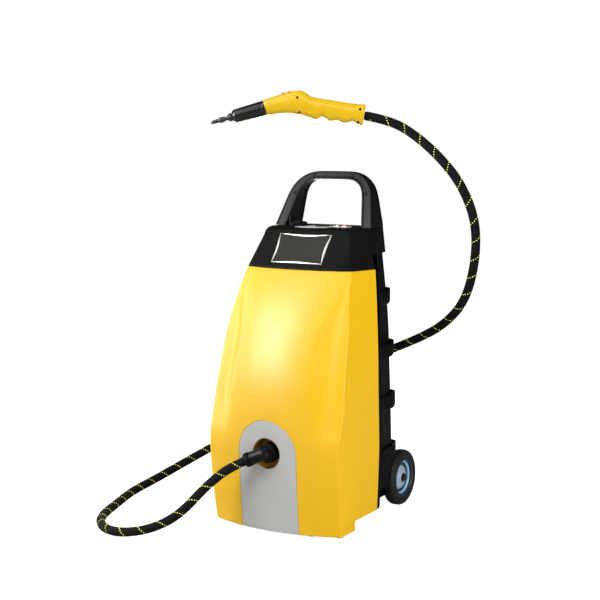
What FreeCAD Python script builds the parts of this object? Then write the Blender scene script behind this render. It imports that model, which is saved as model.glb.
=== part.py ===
"""Mobile steam cleaner: wheeled casing, boiler, hose and steam gun.

Frame: millimetres, +Z up, -Y is the front, +X is on the right seen from the front.
The origin is on the floor, under the middle of the machine's box.
"""
import FreeCAD
import Part

import math
import os

Vector = FreeCAD.Vector
X_AXIS = Vector(1, 0, 0)
Y_AXIS = Vector(0, 1, 0)
Z_AXIS = Vector(0, 0, 1)

# ---- casing ----
WALL = 3.0                    # moulded wall thickness
SEAM = 0.3                    # gap between neighbouring mouldings
SHELL_TOP_Z = 655.0           # top edge of the yellow front shell
SHELL_REAR_Y = -5.0           # rear edge of the yellow front shell
FOOT_Z = 4.0                  # lowest edge of the casing, at the front
SKIRT_Z = 30.0                # lowest edge of the casing, behind the front foot
FOOT_REAR_Y = -125.0          # where the front foot steps up to the skirt

# front shell stations: z, crease half width, crease y, centre y, rear half width, scoop depth, ridge place
SHELL_STATIONS = [
    (4, 187, -195, -235, 184, 0, 0.70),
    (100, 189, -210.5, -243, 187.5, 0, 0.70),
    (190, 190, -219, -248, 190, 0, 0.68),
    (240, 190, -219, -250, 189.5, 1, 0.66),
    (280, 192, -206, -252, 188.5, 3, 0.64),
    (320, 192, -196, -251, 187.5, 6, 0.62),
    (380, 188.5, -184, -245, 186.5, 9, 0.61),
    (440, 184, -169, -232, 185.5, 10, 0.60),
    (500, 179.5, -151, -212, 183.5, 9, 0.63),
    (550, 172, -136, -190, 181.5, 6, 0.74),
    (600, 163, -119, -160, 179, 2, 0.90),
    (655, 155, -92, -120, 176, 0, 0.95),
]
FRONT_BOW = 2.2               # power of the front's curve from the middle to the crease
SCOOP_SKEW = 0.65             # below 1, the scoop is deepest near its ridge
SCOOP_EDGE = 1.4              # power of the scoop's fade at its two edges

# ---- front panel and hose socket ----
PANEL_HALF_WIDTH = 83.5
PANEL_THICK = 2.0
SOCKET_Z = 205.0              # centre of the hose socket and of the panel's round top
SOCKET_R = 39.0
SOCKET_FLOOR_Y = -205.0       # bottom of the socket well

# ---- top housing and handle ----
DECK_Z = 757.0
HOUSING_REAR_Y = 122.0
REAR_CHAMFER = 6.0
HOUSING_REAR_Z = 690.0        # underside of the housing behind the front shell
# top housing stations: z, front half width, front corner y, centre y, side half width, rear half width
HOUSING_STATIONS = [
    (655.3, 155, -92, -120, 176.5, 145),
    (700, 141, -70, -87, 165, 139.5),
    (738, 129, -50, -59.5, 157, 135),
    (751, 123, -45, -50, 152, 133.5),
    (757, 112, -40, -45, 147, 132),
]
HANDLE_DEEP_Y = 122.0         # the handle's rear face
# handle arch, half width and height at the foot, the knee and the end of the bend;
# its outer side narrows from the plane y = 0 to the rear face
HANDLE_OUTER_FRONT = [(148.6, DECK_Z), (131, 850), (50, 901)]
HANDLE_OUTER_REAR = [(133.4, DECK_Z), (117, 850), (46, 898.5)]
HANDLE_INNER = [(114, DECK_Z), (96, 845), (50, 879)]
HANDLE_BULGE = (0.20, 0.08)   # how far the bend bows past the middle of its chord, as shares of its spans
HANDLE_LEAN = 23.3            # the handle's front face leans back this far, degrees
HANDLE_FRONT_Y = 29.0         # the handle's front face at the deck
HANDLE_SPLIT_Y = 100.0        # joint between the handle's front and rear mouldings
HANDLE_WALL = 3.5
HANDLE_SCREWS = [(59, 889), (106.5, 843)]   # half width and height
HANDLE_SCREW_R = 3.2
HANDLE_SCREW_LENGTH = 8.0
CHANNEL_DEPTH = 1.5           # the channel along the handle's front face

# ---- rear shell ----
REAR_FLANGE_Y = 10.0
REAR_CORNER_Y = 105.0
REAR_WALL_Y = 120.0
# rear shell stations: z, half width at the flange, half width at the rear corner
REAR_STATIONS = [(30, 184, 172), (190, 189, 170), (320, 186.5, 166), (525, 182, 157), (690, 174, 139)]
# wrap-around ribs: top z, half width at the flange, at the corner and at the back
RIBS = [(594, 178, 163, 138), (456, 182, 175, 150), (319, 185.5, 180, 156), (183, 188, 182, 160)]
RIB_HEIGHT = 39.0
RIB_REAR_Y = 155.0
AXLE_BOX_HALF = 135.0         # the low box between the wheels
AXLE_BOX_REAR_Y = 205.0
AXLE_BOX_TOP_Z = 150.0

CASE_SCREW_X = 118.0
CASE_SCREW_ZS = (215, 362, 500, 640)
CASE_SCREW_R = 4.5
HOOK_AT = (9.0, 230.0, 327.0) # the hose hook's bend
HOOK_RISE = 50.0
HOOK_R = 5.0
HOOK_BEND = 18.0
GLAND_AT = (-70.0, 100.0, 240.0)
DRAIN_AT = (60.0, 55.0)       # x and z of the drain valve

# ---- wheels ----
WHEEL_R = 75.0
WHEEL_Y = 177.0
TYRE_X = (140.0, 174.0)
RIM_R = 50.0
AXLE_R = 6.0
HUB_BORE_R = 6.06
WHEEL_WELL_R = 84.0
BRACKET_X = 126.0             # the plates that carry the axle
FEET_AT = [(176, -184), (106, -207)]   # half width and y of the rubber feet
FOOT_R = 9.0

# ---- deck fittings ----
CAP_AT = (-62.0, 10.0)
CAP_R = 24.0
CAP_HEIGHT = 12.0
NECK_RISE = 4.0               # the filler neck's top above the deck
NECK_R = 20.0
SWITCH_XS = (54.0, 76.0)
SWITCH_Y = 20.0
GAUGE_AT = (8.0, 16.0)
GAUGE_R = 19.0

# ---- boiler ----
BOILER_AT = (55.0, -20.0)
BOILER_R = 85.0
BOILER_Z = (75.0, 335.0)
BOILER_WALL = 2.5
JACKET_THICK = 14.0
ELEMENT_ROD_R = 4.2
ELEMENT_HALF_WIDE = 14.0
ELEMENT_RISE = 150.0

# ---- hose ----
HOSE_D = 23.0
HOSE_ROUTE = [
    (-46, -270, 186), (-90, -280, 165), (-142, -305, 117), (-172, -380, 55), (-213, -442, 28),
    (-286, -470, 14), (-362, -451, 12), (-429, -377, 12), (-460, -269, 18), (-487, -169, 25),
    (-483, -78, 37), (-453, 22, 68), (-408, 120, 108), (-330, 200, 148), (-240, 243, 190),
    (-150, 235, 243), (-60, 207, 300), (20, 192, 355), (95, 196, 408), (190, 208, 450),
    (281, 185, 498), (358, 149, 571), (396, 122, 680), (407, 93, 782), (378, 64, 875),
    (325, 48, 941), (260, 50, 992), (198, 34, 1030), (142, 1, 1042),
]

ELBOW_AT = Vector(0, -261, SOCKET_Z)   # centre of the hose elbow's ball
ELBOW_R = 21.0
SPIGOT_R = 14.5               # the elbow's end under the clamp
SLEEVE_R = 17.0
CLAMP_R = 19.0
CLAMP_WIDE = 14.0
HOSE_NUT_R = 26.0
HOSE_NUT_START = 12.0         # from the ball's centre to the nut's front
NECK_LENGTH = 16.0
HOSE_NUT_TAIL = 36.0

# ---- gun: its own plane is upright and turned about Z ----
GUN_TURN = 31.0               # the gun's length from +X towards +Y, degrees
GUN_AT = Vector(0, -84, 0)    # where the gun plane's u = 0 stands
BARREL_DROP = 15.5            # the barrel points down by this much, degrees
BARREL_BACK = (-89.0, 1062.0) # centre of the barrel's rear face, u and z
BARREL_LENGTH = 84.0
BARREL_R = (16.5, 19.0)       # front and rear
GUN_HALF_THICK = 17.0
GUN_EDGE_R = 7.0
FERRULE_R = 10.0
FERRULE_LENGTH = 26.0
SWIVEL_GAP = 0.05             # radial clearance of the gun on the hose's ferrule
BUTTON_STARTS = {"steam": -47.0, "water": -33.5}   # rear ends are 11 mm further along u
BUTTON_LENGTH = 11.0
BUTTON_SLOPE = 0.25           # rise of the gun's top under the buttons
GUN_SCREWS = [(-7, 1087.5), (-2, 1051), (151, 1058), (146, 1026)]   # u and z
CHAMBER_R = 13.0              # the bore behind the barrel, for the valve
CHANNEL_R = 8.0               # the bore from the chamber to the ferrule
CHANNEL_START = (-5, 1078)    # u and z
VALVE_GAP = 2.0
LANCE_R = 5.0
LANCE_BACK = -46.0            # the lance's rear end, along the barrel
LANCE_LENGTH = 150.0


def box(x0, x1, y0, y1, z0, z1):
    return Part.makeBox(x1 - x0, y1 - y0, z1 - z0, Vector(x0, y0, z0))


def cylinder(radius, start, direction, length):
    return Part.makeCylinder(radius, length, Vector(*start), direction)


def ring(outer, inner, start, direction, length):
    return cylinder(outer, start, direction, length).cut(cylinder(inner, start, direction, length))


def fuse(shapes):
    whole = shapes[0]
    for shape in shapes[1:]:
        whole = whole.fuse(shape)
    return whole.removeSplitter()


def mirrored(shape):
    """The same shape on the other side of the machine's centre plane."""
    return shape.mirror(Vector(0, 0, 0), X_AXIS)


def prism(outline, direction):
    """A straight solid from closed points, swept along a vector."""
    points = [Vector(*point) for point in outline]
    return Part.Face(Part.makePolygon(points + points[:1])).extrude(direction)


def revolved(profile, centre, direction):
    """A turned solid: profile holds (distance along the axis, radius) pairs."""
    side = X_AXIS if abs(direction.dot(X_AXIS)) < 0.9 * direction.Length else Z_AXIS
    axis = Vector(direction).normalize()
    out = side.sub(axis * side.dot(axis)).normalize()
    points = [centre + axis * along + out * radius for along, radius in profile]
    face = Part.Face(Part.makePolygon(points + points[:1]))
    return face.revolve(centre, axis, 360)


def save(name, shape):
    solids = shape.Solids
    whole = solids[0] if len(solids) == 1 else Part.Compound(solids)
    if not whole.isValid():
        print("invalid solid:", name)
    whole.exportStep(f"parts/{name}.step")


# ---------------------------------------------------------------- casing

def front_section(station, inset):
    """One level section of the front shell, with a bowed front and a scoop beside each ridge."""
    z, crease_x, crease_y, centre_y, rear_x, scoop, ridge = station
    half = crease_x - inset
    places = [0.0, 0.3, 0.5] + [ridge + (1 - ridge) * share for share in (0.0, 0.2, 0.5, 0.8, 1.0)]
    right = []
    for place in places:
        y = centre_y + (crease_y - centre_y) * place ** FRONT_BOW
        share = max(0.0, (place - ridge) / (1 - ridge))
        wave = max(0.0, math.sin(math.pi * share ** SCOOP_SKEW))
        right.append(Vector(half * place, y + scoop * wave ** SCOOP_EDGE + inset, z))
    left = [Vector(-point.x, point.y, point.z) for point in reversed(right[1:])]
    front = Part.BSplineCurve()
    front.interpolate(left + right)
    rear_right = Vector(rear_x - inset, SHELL_REAR_Y, z)
    rear_left = Vector(inset - rear_x, SHELL_REAR_Y, z)
    return Part.Wire([
        front.toShape(),
        Part.LineSegment(right[-1], rear_right).toShape(),
        Part.LineSegment(rear_right, rear_left).toShape(),
        Part.LineSegment(rear_left, left[0]).toShape(),
    ])


def front_body(inset):
    return Part.makeLoft([front_section(station, inset) for station in SHELL_STATIONS], True, False)


def panel_arch(half_width):
    """The silver panel's outline as a prism that runs through the shell's front."""
    low = box(-half_width, half_width, -300, -150, 0, SOCKET_Z)
    return fuse([low, cylinder(half_width, (0, -300, SOCKET_Z), Y_AXIS, 150)])


def socket_hole(radius):
    return cylinder(radius, (0, -300, SOCKET_Z), Y_AXIS, 150)


def make_front():
    outer = front_body(0)
    under_panel = front_body(PANEL_THICK)
    skin = outer.cut(front_body(2 * PANEL_THICK))
    step = box(-250, 250, FOOT_REAR_Y, 0, 0, SKIRT_Z)
    panel_layer = outer.cut(under_panel)
    shell = skin.cut(step).cut(panel_layer.common(panel_arch(PANEL_HALF_WIDTH + SEAM)))
    shell = shell.cut(socket_hole(SOCKET_R + 2 * WALL))
    save("front_shell", shell)
    save("silver_panel", panel_layer.common(panel_arch(PANEL_HALF_WIDTH)).cut(socket_hole(SOCKET_R)))

    rim_y = -248 + PANEL_THICK + SEAM
    well = ring(SOCKET_R + WALL, SOCKET_R, (0, rim_y, SOCKET_Z), Y_AXIS, SOCKET_FLOOR_Y - rim_y)
    floor = ring(SOCKET_R + WALL, 12, (0, SOCKET_FLOOR_Y, SOCKET_Z), Y_AXIS, WALL)
    save("socket_well", fuse([well, floor]).common(under_panel))
    union = ring(11.5, 5, (0, SOCKET_FLOOR_Y - 12, SOCKET_Z), Y_AXIS, 32)
    nut = ring(16, 11.5, (0, SOCKET_FLOOR_Y + WALL, SOCKET_Z), Y_AXIS, 8)
    save("steam_socket", fuse([union, nut]))


def housing_section(station, inset):
    z, corner_x, corner_y, centre_y, side_x, rear_x = station
    right = []
    for place in (0.0, 0.5, 0.85, 1.0):
        y = centre_y + (corner_y - centre_y) * place ** 2.2
        right.append(Vector((corner_x - inset) * place, y + inset, z))
    left = [Vector(-point.x, point.y, point.z) for point in reversed(right[1:])]
    front = Part.BSplineCurve()
    front.interpolate(left + right)
    corners = [
        Vector(side_x - inset, SHELL_REAR_Y, z),
        Vector(rear_x - inset, HOUSING_REAR_Y - REAR_CHAMFER, z),
        Vector(rear_x - REAR_CHAMFER - inset, HOUSING_REAR_Y - inset, z),
    ]
    corners += [Vector(-corner.x, corner.y, corner.z) for corner in reversed(corners)]
    ends = [right[-1]] + corners + [left[0]]
    sides = [Part.LineSegment(a, b).toShape() for a, b in zip(ends, ends[1:])]
    return Part.Wire([front.toShape()] + sides)


def housing_body(inset, lift):
    stations = [(station[0] - lift,) + station[1:] for station in HOUSING_STATIONS]
    return Part.makeLoft([housing_section(station, inset) for station in stations], True, True)


def bezel_plane(x, along, out):
    """A point on the housing's sloping front: x across, along the slope, out of the face."""
    slope = math.radians(36.5)
    low = Vector(0, -110.5, 669.5)
    up = Vector(0, math.sin(slope), math.cos(slope))
    normal = Vector(0, -math.cos(slope), math.sin(slope))
    return low + Vector(x, 0, 0) + up * along + normal * out


BEZEL_HALF = (74.0, 76.5)     # half widths at the bottom and the top
BEZEL_HEIGHT = 89.0
BEZEL_BOW = 4.0               # how far each side of the frame curves inward
PLATE_MARGIN = 3.0            # width of the frame at its corners


def pillow_outline(margin, bow, out):
    """A four-sided outline whose sides curve inward by the bow."""
    low, high = BEZEL_HALF
    corners = [(-low + margin, margin), (low - margin, margin),
               (high - margin, BEZEL_HEIGHT - margin), (margin - high, BEZEL_HEIGHT - margin)]
    inward = [(0, bow), (-bow, 0), (0, -bow), (bow, 0)]
    edges = []
    for index, (dx, dy) in enumerate(inward):
        a = corners[index]
        b = corners[(index + 1) % 4]
        middle = ((a[0] + b[0]) / 2 + dx, (a[1] + b[1]) / 2 + dy)
        points = [bezel_plane(*point, out) for point in (a, middle, b)]
        edges.append(Part.Arc(*points).toShape())
    return Part.Face(Part.Wire(edges))


def make_housing():
    outer = housing_body(0, 0)
    under = box(-250, 250, SHELL_REAR_Y, 250, 600, HOUSING_REAR_Z)
    shell = outer.cut(housing_body(WALL, WALL)).cut(under)
    into_deck = 40
    cap_x, cap_y = CAP_AT
    shell = shell.cut(cylinder(NECK_R, (cap_x, cap_y, DECK_Z - into_deck), Z_AXIS, 2 * into_deck))
    gauge_x, gauge_y = GAUGE_AT
    shell = shell.cut(cylinder(GAUGE_R, (gauge_x, gauge_y, DECK_Z - into_deck), Z_AXIS, 2 * into_deck))
    for switch_x in SWITCH_XS:
        shell = shell.cut(box(switch_x - 8, switch_x + 8, SWITCH_Y - 10, SWITCH_Y + 10,
                              DECK_Z - into_deck, DECK_Z + into_deck))
    save("top_housing", shell)

    outward = bezel_plane(0, 0, 1) - bezel_plane(0, 0, 0)
    beyond = outer.cut(box(-250, 250, 0, 250, 600, 800))
    plate = pillow_outline(PLATE_MARGIN, 2 * BEZEL_BOW, 0).extrude(outward * 3).cut(beyond)
    frame = pillow_outline(0, BEZEL_BOW, 0).extrude(outward * 5)
    frame = frame.cut(pillow_outline(PLATE_MARGIN, 2 * BEZEL_BOW, 0).extrude(outward * 5)).cut(beyond)
    save("badge_plate", plate)
    save("badge_bezel", frame)

    save("control_plate", control_plate())


def control_plate():
    """The thin plate on the deck, with a curved front edge, cut around what passes through it."""
    low_z = DECK_Z
    front = Part.Arc(Vector(-48, -28, low_z), Vector(0, -39, low_z), Vector(42, -28, low_z)).toShape()
    corners = [Vector(42, -28, low_z), Vector(42, 44, low_z), Vector(-34, 44, low_z),
               Vector(-34, -12, low_z), Vector(-48, -28, low_z)]
    sides = [Part.LineSegment(a, b).toShape() for a, b in zip(corners, corners[1:])]
    plate = Part.Face(Part.Wire([front] + sides)).extrude(Vector(0, 0, 1.5))
    return plate.cut(cylinder(GAUGE_R, (*GAUGE_AT, low_z - 1), Z_AXIS, 5))


# ---------------------------------------------------------------- handle

def arch_side(points, inset):
    """Foot, knee, bulge and end of one side of the arch, moved by the inset."""
    (x0, z0), (x1, z1), (x2, z2) = [(x - inset, z) for x, z in points]
    bulge_x = (x1 + x2) / 2 + HANDLE_BULGE[0] * (x1 - x2)
    bulge_z = (z1 + z2) / 2 + HANDLE_BULGE[1] * (z2 - z1)
    places = [(x0, z0), (x1, z1), (bulge_x, bulge_z - inset), (x2, z2 - inset)]
    return [Vector(x, 0, z) for x, z in places]


def arch_rail(points):
    """The arch's line from one foot over the top to the other."""
    foot, knee, bulge, end = points
    left_foot, left_knee, left_bulge, left_end = [Vector(-point.x, 0, point.z) for point in points]
    return [
        Part.LineSegment(foot, knee).toShape(),
        Part.Arc(knee, bulge, end).toShape(),
        Part.LineSegment(end, left_end).toShape(),
        Part.Arc(left_end, left_bulge, left_knee).toShape(),
        Part.LineSegment(left_knee, left_foot).toShape(),
    ]


def handle_outline(inset, y):
    """The arch seen from the front at one depth, as a closed wire."""
    share = y / HANDLE_DEEP_Y
    outer = [(xf + (xr - xf) * share, zf + (zr - zf) * share)
             for (xf, zf), (xr, zr) in zip(HANDLE_OUTER_FRONT, HANDLE_OUTER_REAR)]
    out_points = arch_side(outer, inset)
    in_points = arch_side(HANDLE_INNER, -inset)
    feet = [Part.LineSegment(Vector(side * out_points[0].x, 0, DECK_Z),
                             Vector(side * in_points[0].x, 0, DECK_Z)).toShape() for side in (1, -1)]
    wire = Part.Wire(Part.__sortEdges__(arch_rail(out_points) + arch_rail(in_points) + feet))
    wire.translate(Vector(0, y, 0))
    return wire


def handle_prism(inset, y0, y1):
    return Part.makeLoft([handle_outline(inset, y0), handle_outline(inset, y1)], True, True)


def ahead_of_handle(depth):
    """Everything in front of the handle's leaning face, moved back by depth."""
    lean = math.tan(math.radians(HANDLE_LEAN))
    low_y = HANDLE_FRONT_Y + depth
    high = 200.0
    outline = [(-250, low_y - 250, DECK_Z - 60), (-250, low_y - 60 * lean, DECK_Z - 60),
               (-250, low_y + high * lean, DECK_Z + high), (-250, low_y - 250, DECK_Z + high)]
    return prism(outline, Vector(500, 0, 0))


def make_handle():
    front = handle_prism(0, 0, HANDLE_SPLIT_Y).cut(ahead_of_handle(0))
    trough = handle_prism(HANDLE_WALL, 0, HANDLE_SPLIT_Y).cut(ahead_of_handle(HANDLE_WALL))
    channel = handle_prism(2 * HANDLE_WALL, 0, HANDLE_SPLIT_Y).common(ahead_of_handle(CHANNEL_DEPTH))
    front = front.cut(trough).cut(channel)
    lean = math.radians(HANDLE_LEAN)
    inward = Vector(0, math.cos(lean), -math.sin(lean))
    screws = []
    for x, z in HANDLE_SCREWS:
        face_y = HANDLE_FRONT_Y + (z - DECK_Z) * math.tan(lean)
        for side in (-1, 1):
            start = Vector(side * x, face_y, z) + inward * CHANNEL_DEPTH
            screws.append(Part.makeCylinder(HANDLE_SCREW_R, HANDLE_SCREW_LENGTH, start, inward))
    for screw in screws:
        front = front.cut(screw)
    rear = handle_prism(0, HANDLE_SPLIT_Y + SEAM, HANDLE_DEEP_Y)
    rear = rear.cut(handle_prism(HANDLE_WALL, HANDLE_SPLIT_Y, HANDLE_DEEP_Y - HANDLE_WALL))
    save("handle_front", front)
    save("handle_rear", rear)
    save("handle_screws", Part.Compound(screws))


# ---------------------------------------------------------------- rear shell

def rear_section(station, inset):
    z, flange_x, corner_x = station
    step = 4.0
    half = [(flange_x - inset, SHELL_REAR_Y + SEAM), (flange_x - inset, REAR_FLANGE_Y),
            (flange_x - step - inset, REAR_FLANGE_Y + 1), (corner_x - inset, REAR_CORNER_Y - inset / 2),
            (corner_x - 15 - inset / 2, REAR_WALL_Y - inset)]
    points = [Vector(x, y, z) for x, y in half] + [Vector(-x, y, z) for x, y in reversed(half)]
    return Part.makePolygon(points + points[:1])


def rear_column(inset):
    return Part.makeLoft([rear_section(station, inset) for station in REAR_STATIONS], True, True)


def rib(top_z, flange_x, corner_x, back_x):
    half = [(flange_x, REAR_FLANGE_Y + 2), (corner_x, REAR_CORNER_Y), (back_x, RIB_REAR_Y - 6),
            (back_x - 10, RIB_REAR_Y)]
    outline = [(x, y, top_z - RIB_HEIGHT) for x, y in half]
    outline += [(-x, y, z) for x, y, z in reversed(outline)]
    return prism(outline, Vector(0, 0, RIB_HEIGHT))


def wheel_well(side, grow):
    """The space a wheel needs beside the axle box, larger by grow."""
    x = AXLE_BOX_HALF - grow
    turn = cylinder(WHEEL_WELL_R + grow, (x, WHEEL_Y, WHEEL_R), X_AXIS, 100)
    below = box(x, x + 100, REAR_FLANGE_Y + 13 - grow, 400, 0, WHEEL_R)
    well = fuse([turn, below])
    return well if side > 0 else mirrored(well)


def make_rear_shell():
    outer = [rear_column(0)] + [rib(*sizes) for sizes in RIBS]
    outer.append(box(-AXLE_BOX_HALF, AXLE_BOX_HALF, 100, AXLE_BOX_REAR_Y, SKIRT_Z, AXLE_BOX_TOP_Z))
    shell = fuse(outer)
    inner = fuse([rear_column(WALL), box(WALL - AXLE_BOX_HALF, AXLE_BOX_HALF - WALL, 90,
                                         AXLE_BOX_REAR_Y - WALL, SKIRT_Z, AXLE_BOX_TOP_Z - WALL)])
    for side in (-1, 1):
        shell = shell.cut(wheel_well(side, 0))
        inner = inner.cut(wheel_well(side, WALL))
    shell = shell.cut(inner)
    shell = shell.cut(cylinder(8, (-200, WHEEL_Y, WHEEL_R), X_AXIS, 400))
    shell = shell.cut(cylinder(9, GLAND_AT, Y_AXIS, 40))
    shell = shell.cut(cylinder(10, (DRAIN_AT[0], AXLE_BOX_REAR_Y - 20, DRAIN_AT[1]), Y_AXIS, 40))
    save("rear_shell", shell)

    screws = []
    for z in CASE_SCREW_ZS:
        for side in (-1, 1):
            screws.append(cylinder(CASE_SCREW_R, (side * CASE_SCREW_X, REAR_WALL_Y, z), Y_AXIS, 2.4))
    save("case_screws", Part.Compound(screws))

    hook_x, hook_y, hook_z = HOOK_AT
    save("hose_hook", pipe([Vector(hook_x, REAR_WALL_Y, hook_z), Vector(hook_x, hook_y, hook_z),
                            Vector(hook_x, hook_y, hook_z + HOOK_RISE)], HOOK_R, HOOK_BEND))


def make_rear_fittings():
    """The inlet gland for the mains lead and the boiler's drain valve, both on the hidden side."""
    x, _, z = GLAND_AT
    gland = fuse([ring(8.8, 4.5, (x, REAR_WALL_Y - 12, z), Y_AXIS, 12),
                  ring(14, 4.5, (x, REAR_WALL_Y, z), Y_AXIS, 6),
                  ring(11, 4.5, (x, REAR_WALL_Y + 6, z), Y_AXIS, 12)])
    save("mains_gland", gland)

    x, z = DRAIN_AT
    body = fuse([cylinder(9.8, (x, AXLE_BOX_REAR_Y - 40, z), Y_AXIS, 55),
                 cylinder(14, (x, AXLE_BOX_REAR_Y, z), Y_AXIS, 5),
                 cylinder(6, (x, AXLE_BOX_REAR_Y + 8, z), Z_AXIS, 14),
                 cylinder(3, (x, AXLE_BOX_REAR_Y + 8, z), Z_AXIS, 20)])
    body = body.cut(cylinder(5, (x, AXLE_BOX_REAR_Y - 10, z), Y_AXIS, 40))
    save("drain_valve", body)
    top_z = z + 14 + SEAM
    lever = fuse([cylinder(7, (x, AXLE_BOX_REAR_Y + 8, top_z), Z_AXIS, 4),
                  box(x, x + 36, AXLE_BOX_REAR_Y + 3, AXLE_BOX_REAR_Y + 13, top_z, top_z + 4)])
    save("drain_lever", lever.cut(cylinder(3.05, (x, AXLE_BOX_REAR_Y + 8, top_z), Z_AXIS, 4)))


# ---------------------------------------------------------------- chassis and wheels

def make_chassis():
    front_half = 178.0
    rear_half = 130.0
    inside = front_body(2 * PANEL_THICK + SEAM)
    tray = inside.common(box(-front_half, front_half, -300, FOOT_REAR_Y - WALL, FOOT_Z, FOOT_Z + 2))
    riser = box(-front_half, front_half, FOOT_REAR_Y - WALL - 2, FOOT_REAR_Y - WALL, FOOT_Z, SKIRT_Z + 3)
    floor = box(-front_half, front_half, FOOT_REAR_Y - WALL - 2, 8, SKIRT_Z + 1, SKIRT_Z + 3)
    tail = box(-rear_half, rear_half, 8, 198, SKIRT_Z + 1, SKIRT_Z + 3)
    save("base_plate", fuse([tray, riser, floor, tail]))

    feet = []
    for x, y in FEET_AT:
        for side in (-1, 1):
            feet.append(cylinder(FOOT_R, (side * x, y, 0), Z_AXIS, FOOT_Z))
    save("feet", Part.Compound(feet))

    save("axle", cylinder(AXLE_R, (-TYRE_X[1] - 3, WHEEL_Y, WHEEL_R), X_AXIS, 2 * TYRE_X[1] + 6))
    brackets = []
    for side in (-1, 1):
        plate = box(-2, 2, 120, 195, SKIRT_Z + 3, 95)
        plate.translate(Vector(side * BRACKET_X, 0, 0))
        brackets.append(plate.cut(cylinder(AXLE_R, (-200, WHEEL_Y, WHEEL_R), X_AXIS, 400)))
    save("axle_brackets", Part.Compound(brackets))


def make_wheel(side, name):
    """One wheel, made on the +X side and mirrored for the other."""
    x0, x1 = TYRE_X
    centre = Vector(x0, WHEEL_Y, WHEEL_R)
    wide = x1 - x0
    tyre = revolved([(2, RIM_R), (0, 58), (2, 68), (8, WHEEL_R), (wide - 8, WHEEL_R), (wide - 2, 68),
                     (wide, 58), (wide - 2, RIM_R)], centre, X_AXIS)
    rim = revolved([(1, HUB_BORE_R), (1, 15), (13, 15), (13, 42), (4, 44), (4, RIM_R), (wide - 4, RIM_R),
                    (wide - 4, 43), (19, 41), (19, 18), (wide - 6, 16), (wide - 6, HUB_BORE_R)],
                   centre, X_AXIS)
    for part_name, shape in (("tyre", tyre), ("rim", rim)):
        save(f"{part_name}_{name}", shape if side > 0 else mirrored(shape))


def make_axle_nuts():
    """A plain washer and dome nut on each end of the axle."""
    x = TYRE_X[1] - 5
    nut = revolved([(0, AXLE_R), (0, 8.5), (7, 8.5), (10, 6.5), (11, 3), (11, 0), (8, 0), (8, AXLE_R)],
                   Vector(x, WHEEL_Y, WHEEL_R), X_AXIS)
    save("axle_nuts", Part.Compound([nut, mirrored(nut)]))


# ---------------------------------------------------------------- inside

def make_boiler():
    x, y = BOILER_AT
    low, high = BOILER_Z
    vessel = cylinder(BOILER_R, (x, y, low), Z_AXIS, high - low)
    inside = cylinder(BOILER_R - BOILER_WALL, (x, y, low + BOILER_WALL), Z_AXIS, high - low - 2 * BOILER_WALL)
    port_r = 8.0
    port = cylinder(port_r, (x, y, high - BOILER_WALL), Z_AXIS, BOILER_WALL)
    flange_hole = cylinder(28, (x, y, low), Z_AXIS, BOILER_WALL)
    vessel = vessel.cut(inside).cut(port).cut(flange_hole)
    for angle in (45, 135, 225, 315):
        leg_x = x + (BOILER_R - 12) * math.cos(math.radians(angle))
        leg_y = y + (BOILER_R - 12) * math.sin(math.radians(angle))
        vessel = vessel.fuse(cylinder(8, (leg_x, leg_y, SKIRT_Z + 3), Z_AXIS, low - SKIRT_Z - 3))
    save("boiler_vessel", vessel)
    jacket = ring(BOILER_R + JACKET_THICK, BOILER_R + SEAM, (x, y, low + 12), Z_AXIS, high - low - 24)
    save("boiler_jacket", jacket)

    flange = cylinder(36, (x, y, low - 8), Z_AXIS, 8)
    rods = []
    for offset in (-ELEMENT_HALF_WIDE, ELEMENT_HALF_WIDE):
        rods.append(cylinder(ELEMENT_ROD_R, (x + offset, y, low), Z_AXIS, ELEMENT_RISE))
    rods.append(cylinder(ELEMENT_ROD_R, (x - ELEMENT_HALF_WIDE, y, low + ELEMENT_RISE), X_AXIS,
                         2 * ELEMENT_HALF_WIDE))
    save("heating_element", fuse([flange] + rods))

    save("safety_valve", fuse([cylinder(6, (x, y + 45, high), Z_AXIS, 14),
                               cylinder(9, (x, y + 45, high + 14), Z_AXIS, 28)]))
    save("pressure_switch", fuse([cylinder(5, (x - 45, y, high), Z_AXIS, 16),
                                  box(x - 62, x - 28, y - 15, y + 15, high + 16, high + 50)]))
    save("steam_solenoid", fuse([cylinder(port_r, (x, y, high - BOILER_WALL), Z_AXIS, 14 + BOILER_WALL),
                                 box(x - 14, x + 14, y - 14, y + 14, high + 14, high + 36),
                                 cylinder(11, (x, y, high + 36), Z_AXIS, 22)]))


def pipe(points, radius, bend):
    """A bent pipe through points, with round bends."""
    return swept(points, 2 * radius, [bend] * (len(points) - 2))


def corner_radii(points):
    """The largest bend that each corner's two runs allow."""
    radii = []
    for a, b, c in zip(points, points[1:], points[2:]):
        turn = (b - a).getAngle(c - b)
        radii.append(0.45 * min((b - a).Length, (c - b).Length) / math.tan(turn / 2))
    return radii


def swept(points, diameter, radii):
    """A round bar along straight runs joined by tangent arcs."""
    edges = []
    start = points[0]
    for a, b, c, radius in zip(points, points[1:], points[2:], radii):
        before = (b - a).normalize()
        after = (c - b).normalize()
        turn = before.getAngle(after)
        reach = radius * math.tan(turn / 2)
        arc_in = b - before * reach
        arc_out = b + after * reach
        inward = (after - before).normalize()
        middle = b + inward * (radius / math.cos(turn / 2) - radius)
        edges.append(Part.LineSegment(start, arc_in).toShape())
        edges.append(Part.Arc(arc_in, middle, arc_out).toShape())
        start = arc_out
    edges.append(Part.LineSegment(start, points[-1]).toShape())
    path = Part.Wire(edges)
    heading = (points[1] - points[0]).normalize()
    profile = Part.Wire(Part.Circle(points[0], heading, diameter / 2).toShape())
    tube = path.makePipeShell([profile], True, True)
    section = math.pi * diameter ** 2 / 4
    print(f"tube length {path.Length:.0f} mm, volume ratio {tube.Volume / (section * path.Length):.4f}, "
          f"tightest bend {min(radii):.0f} mm")
    return tube


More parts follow.
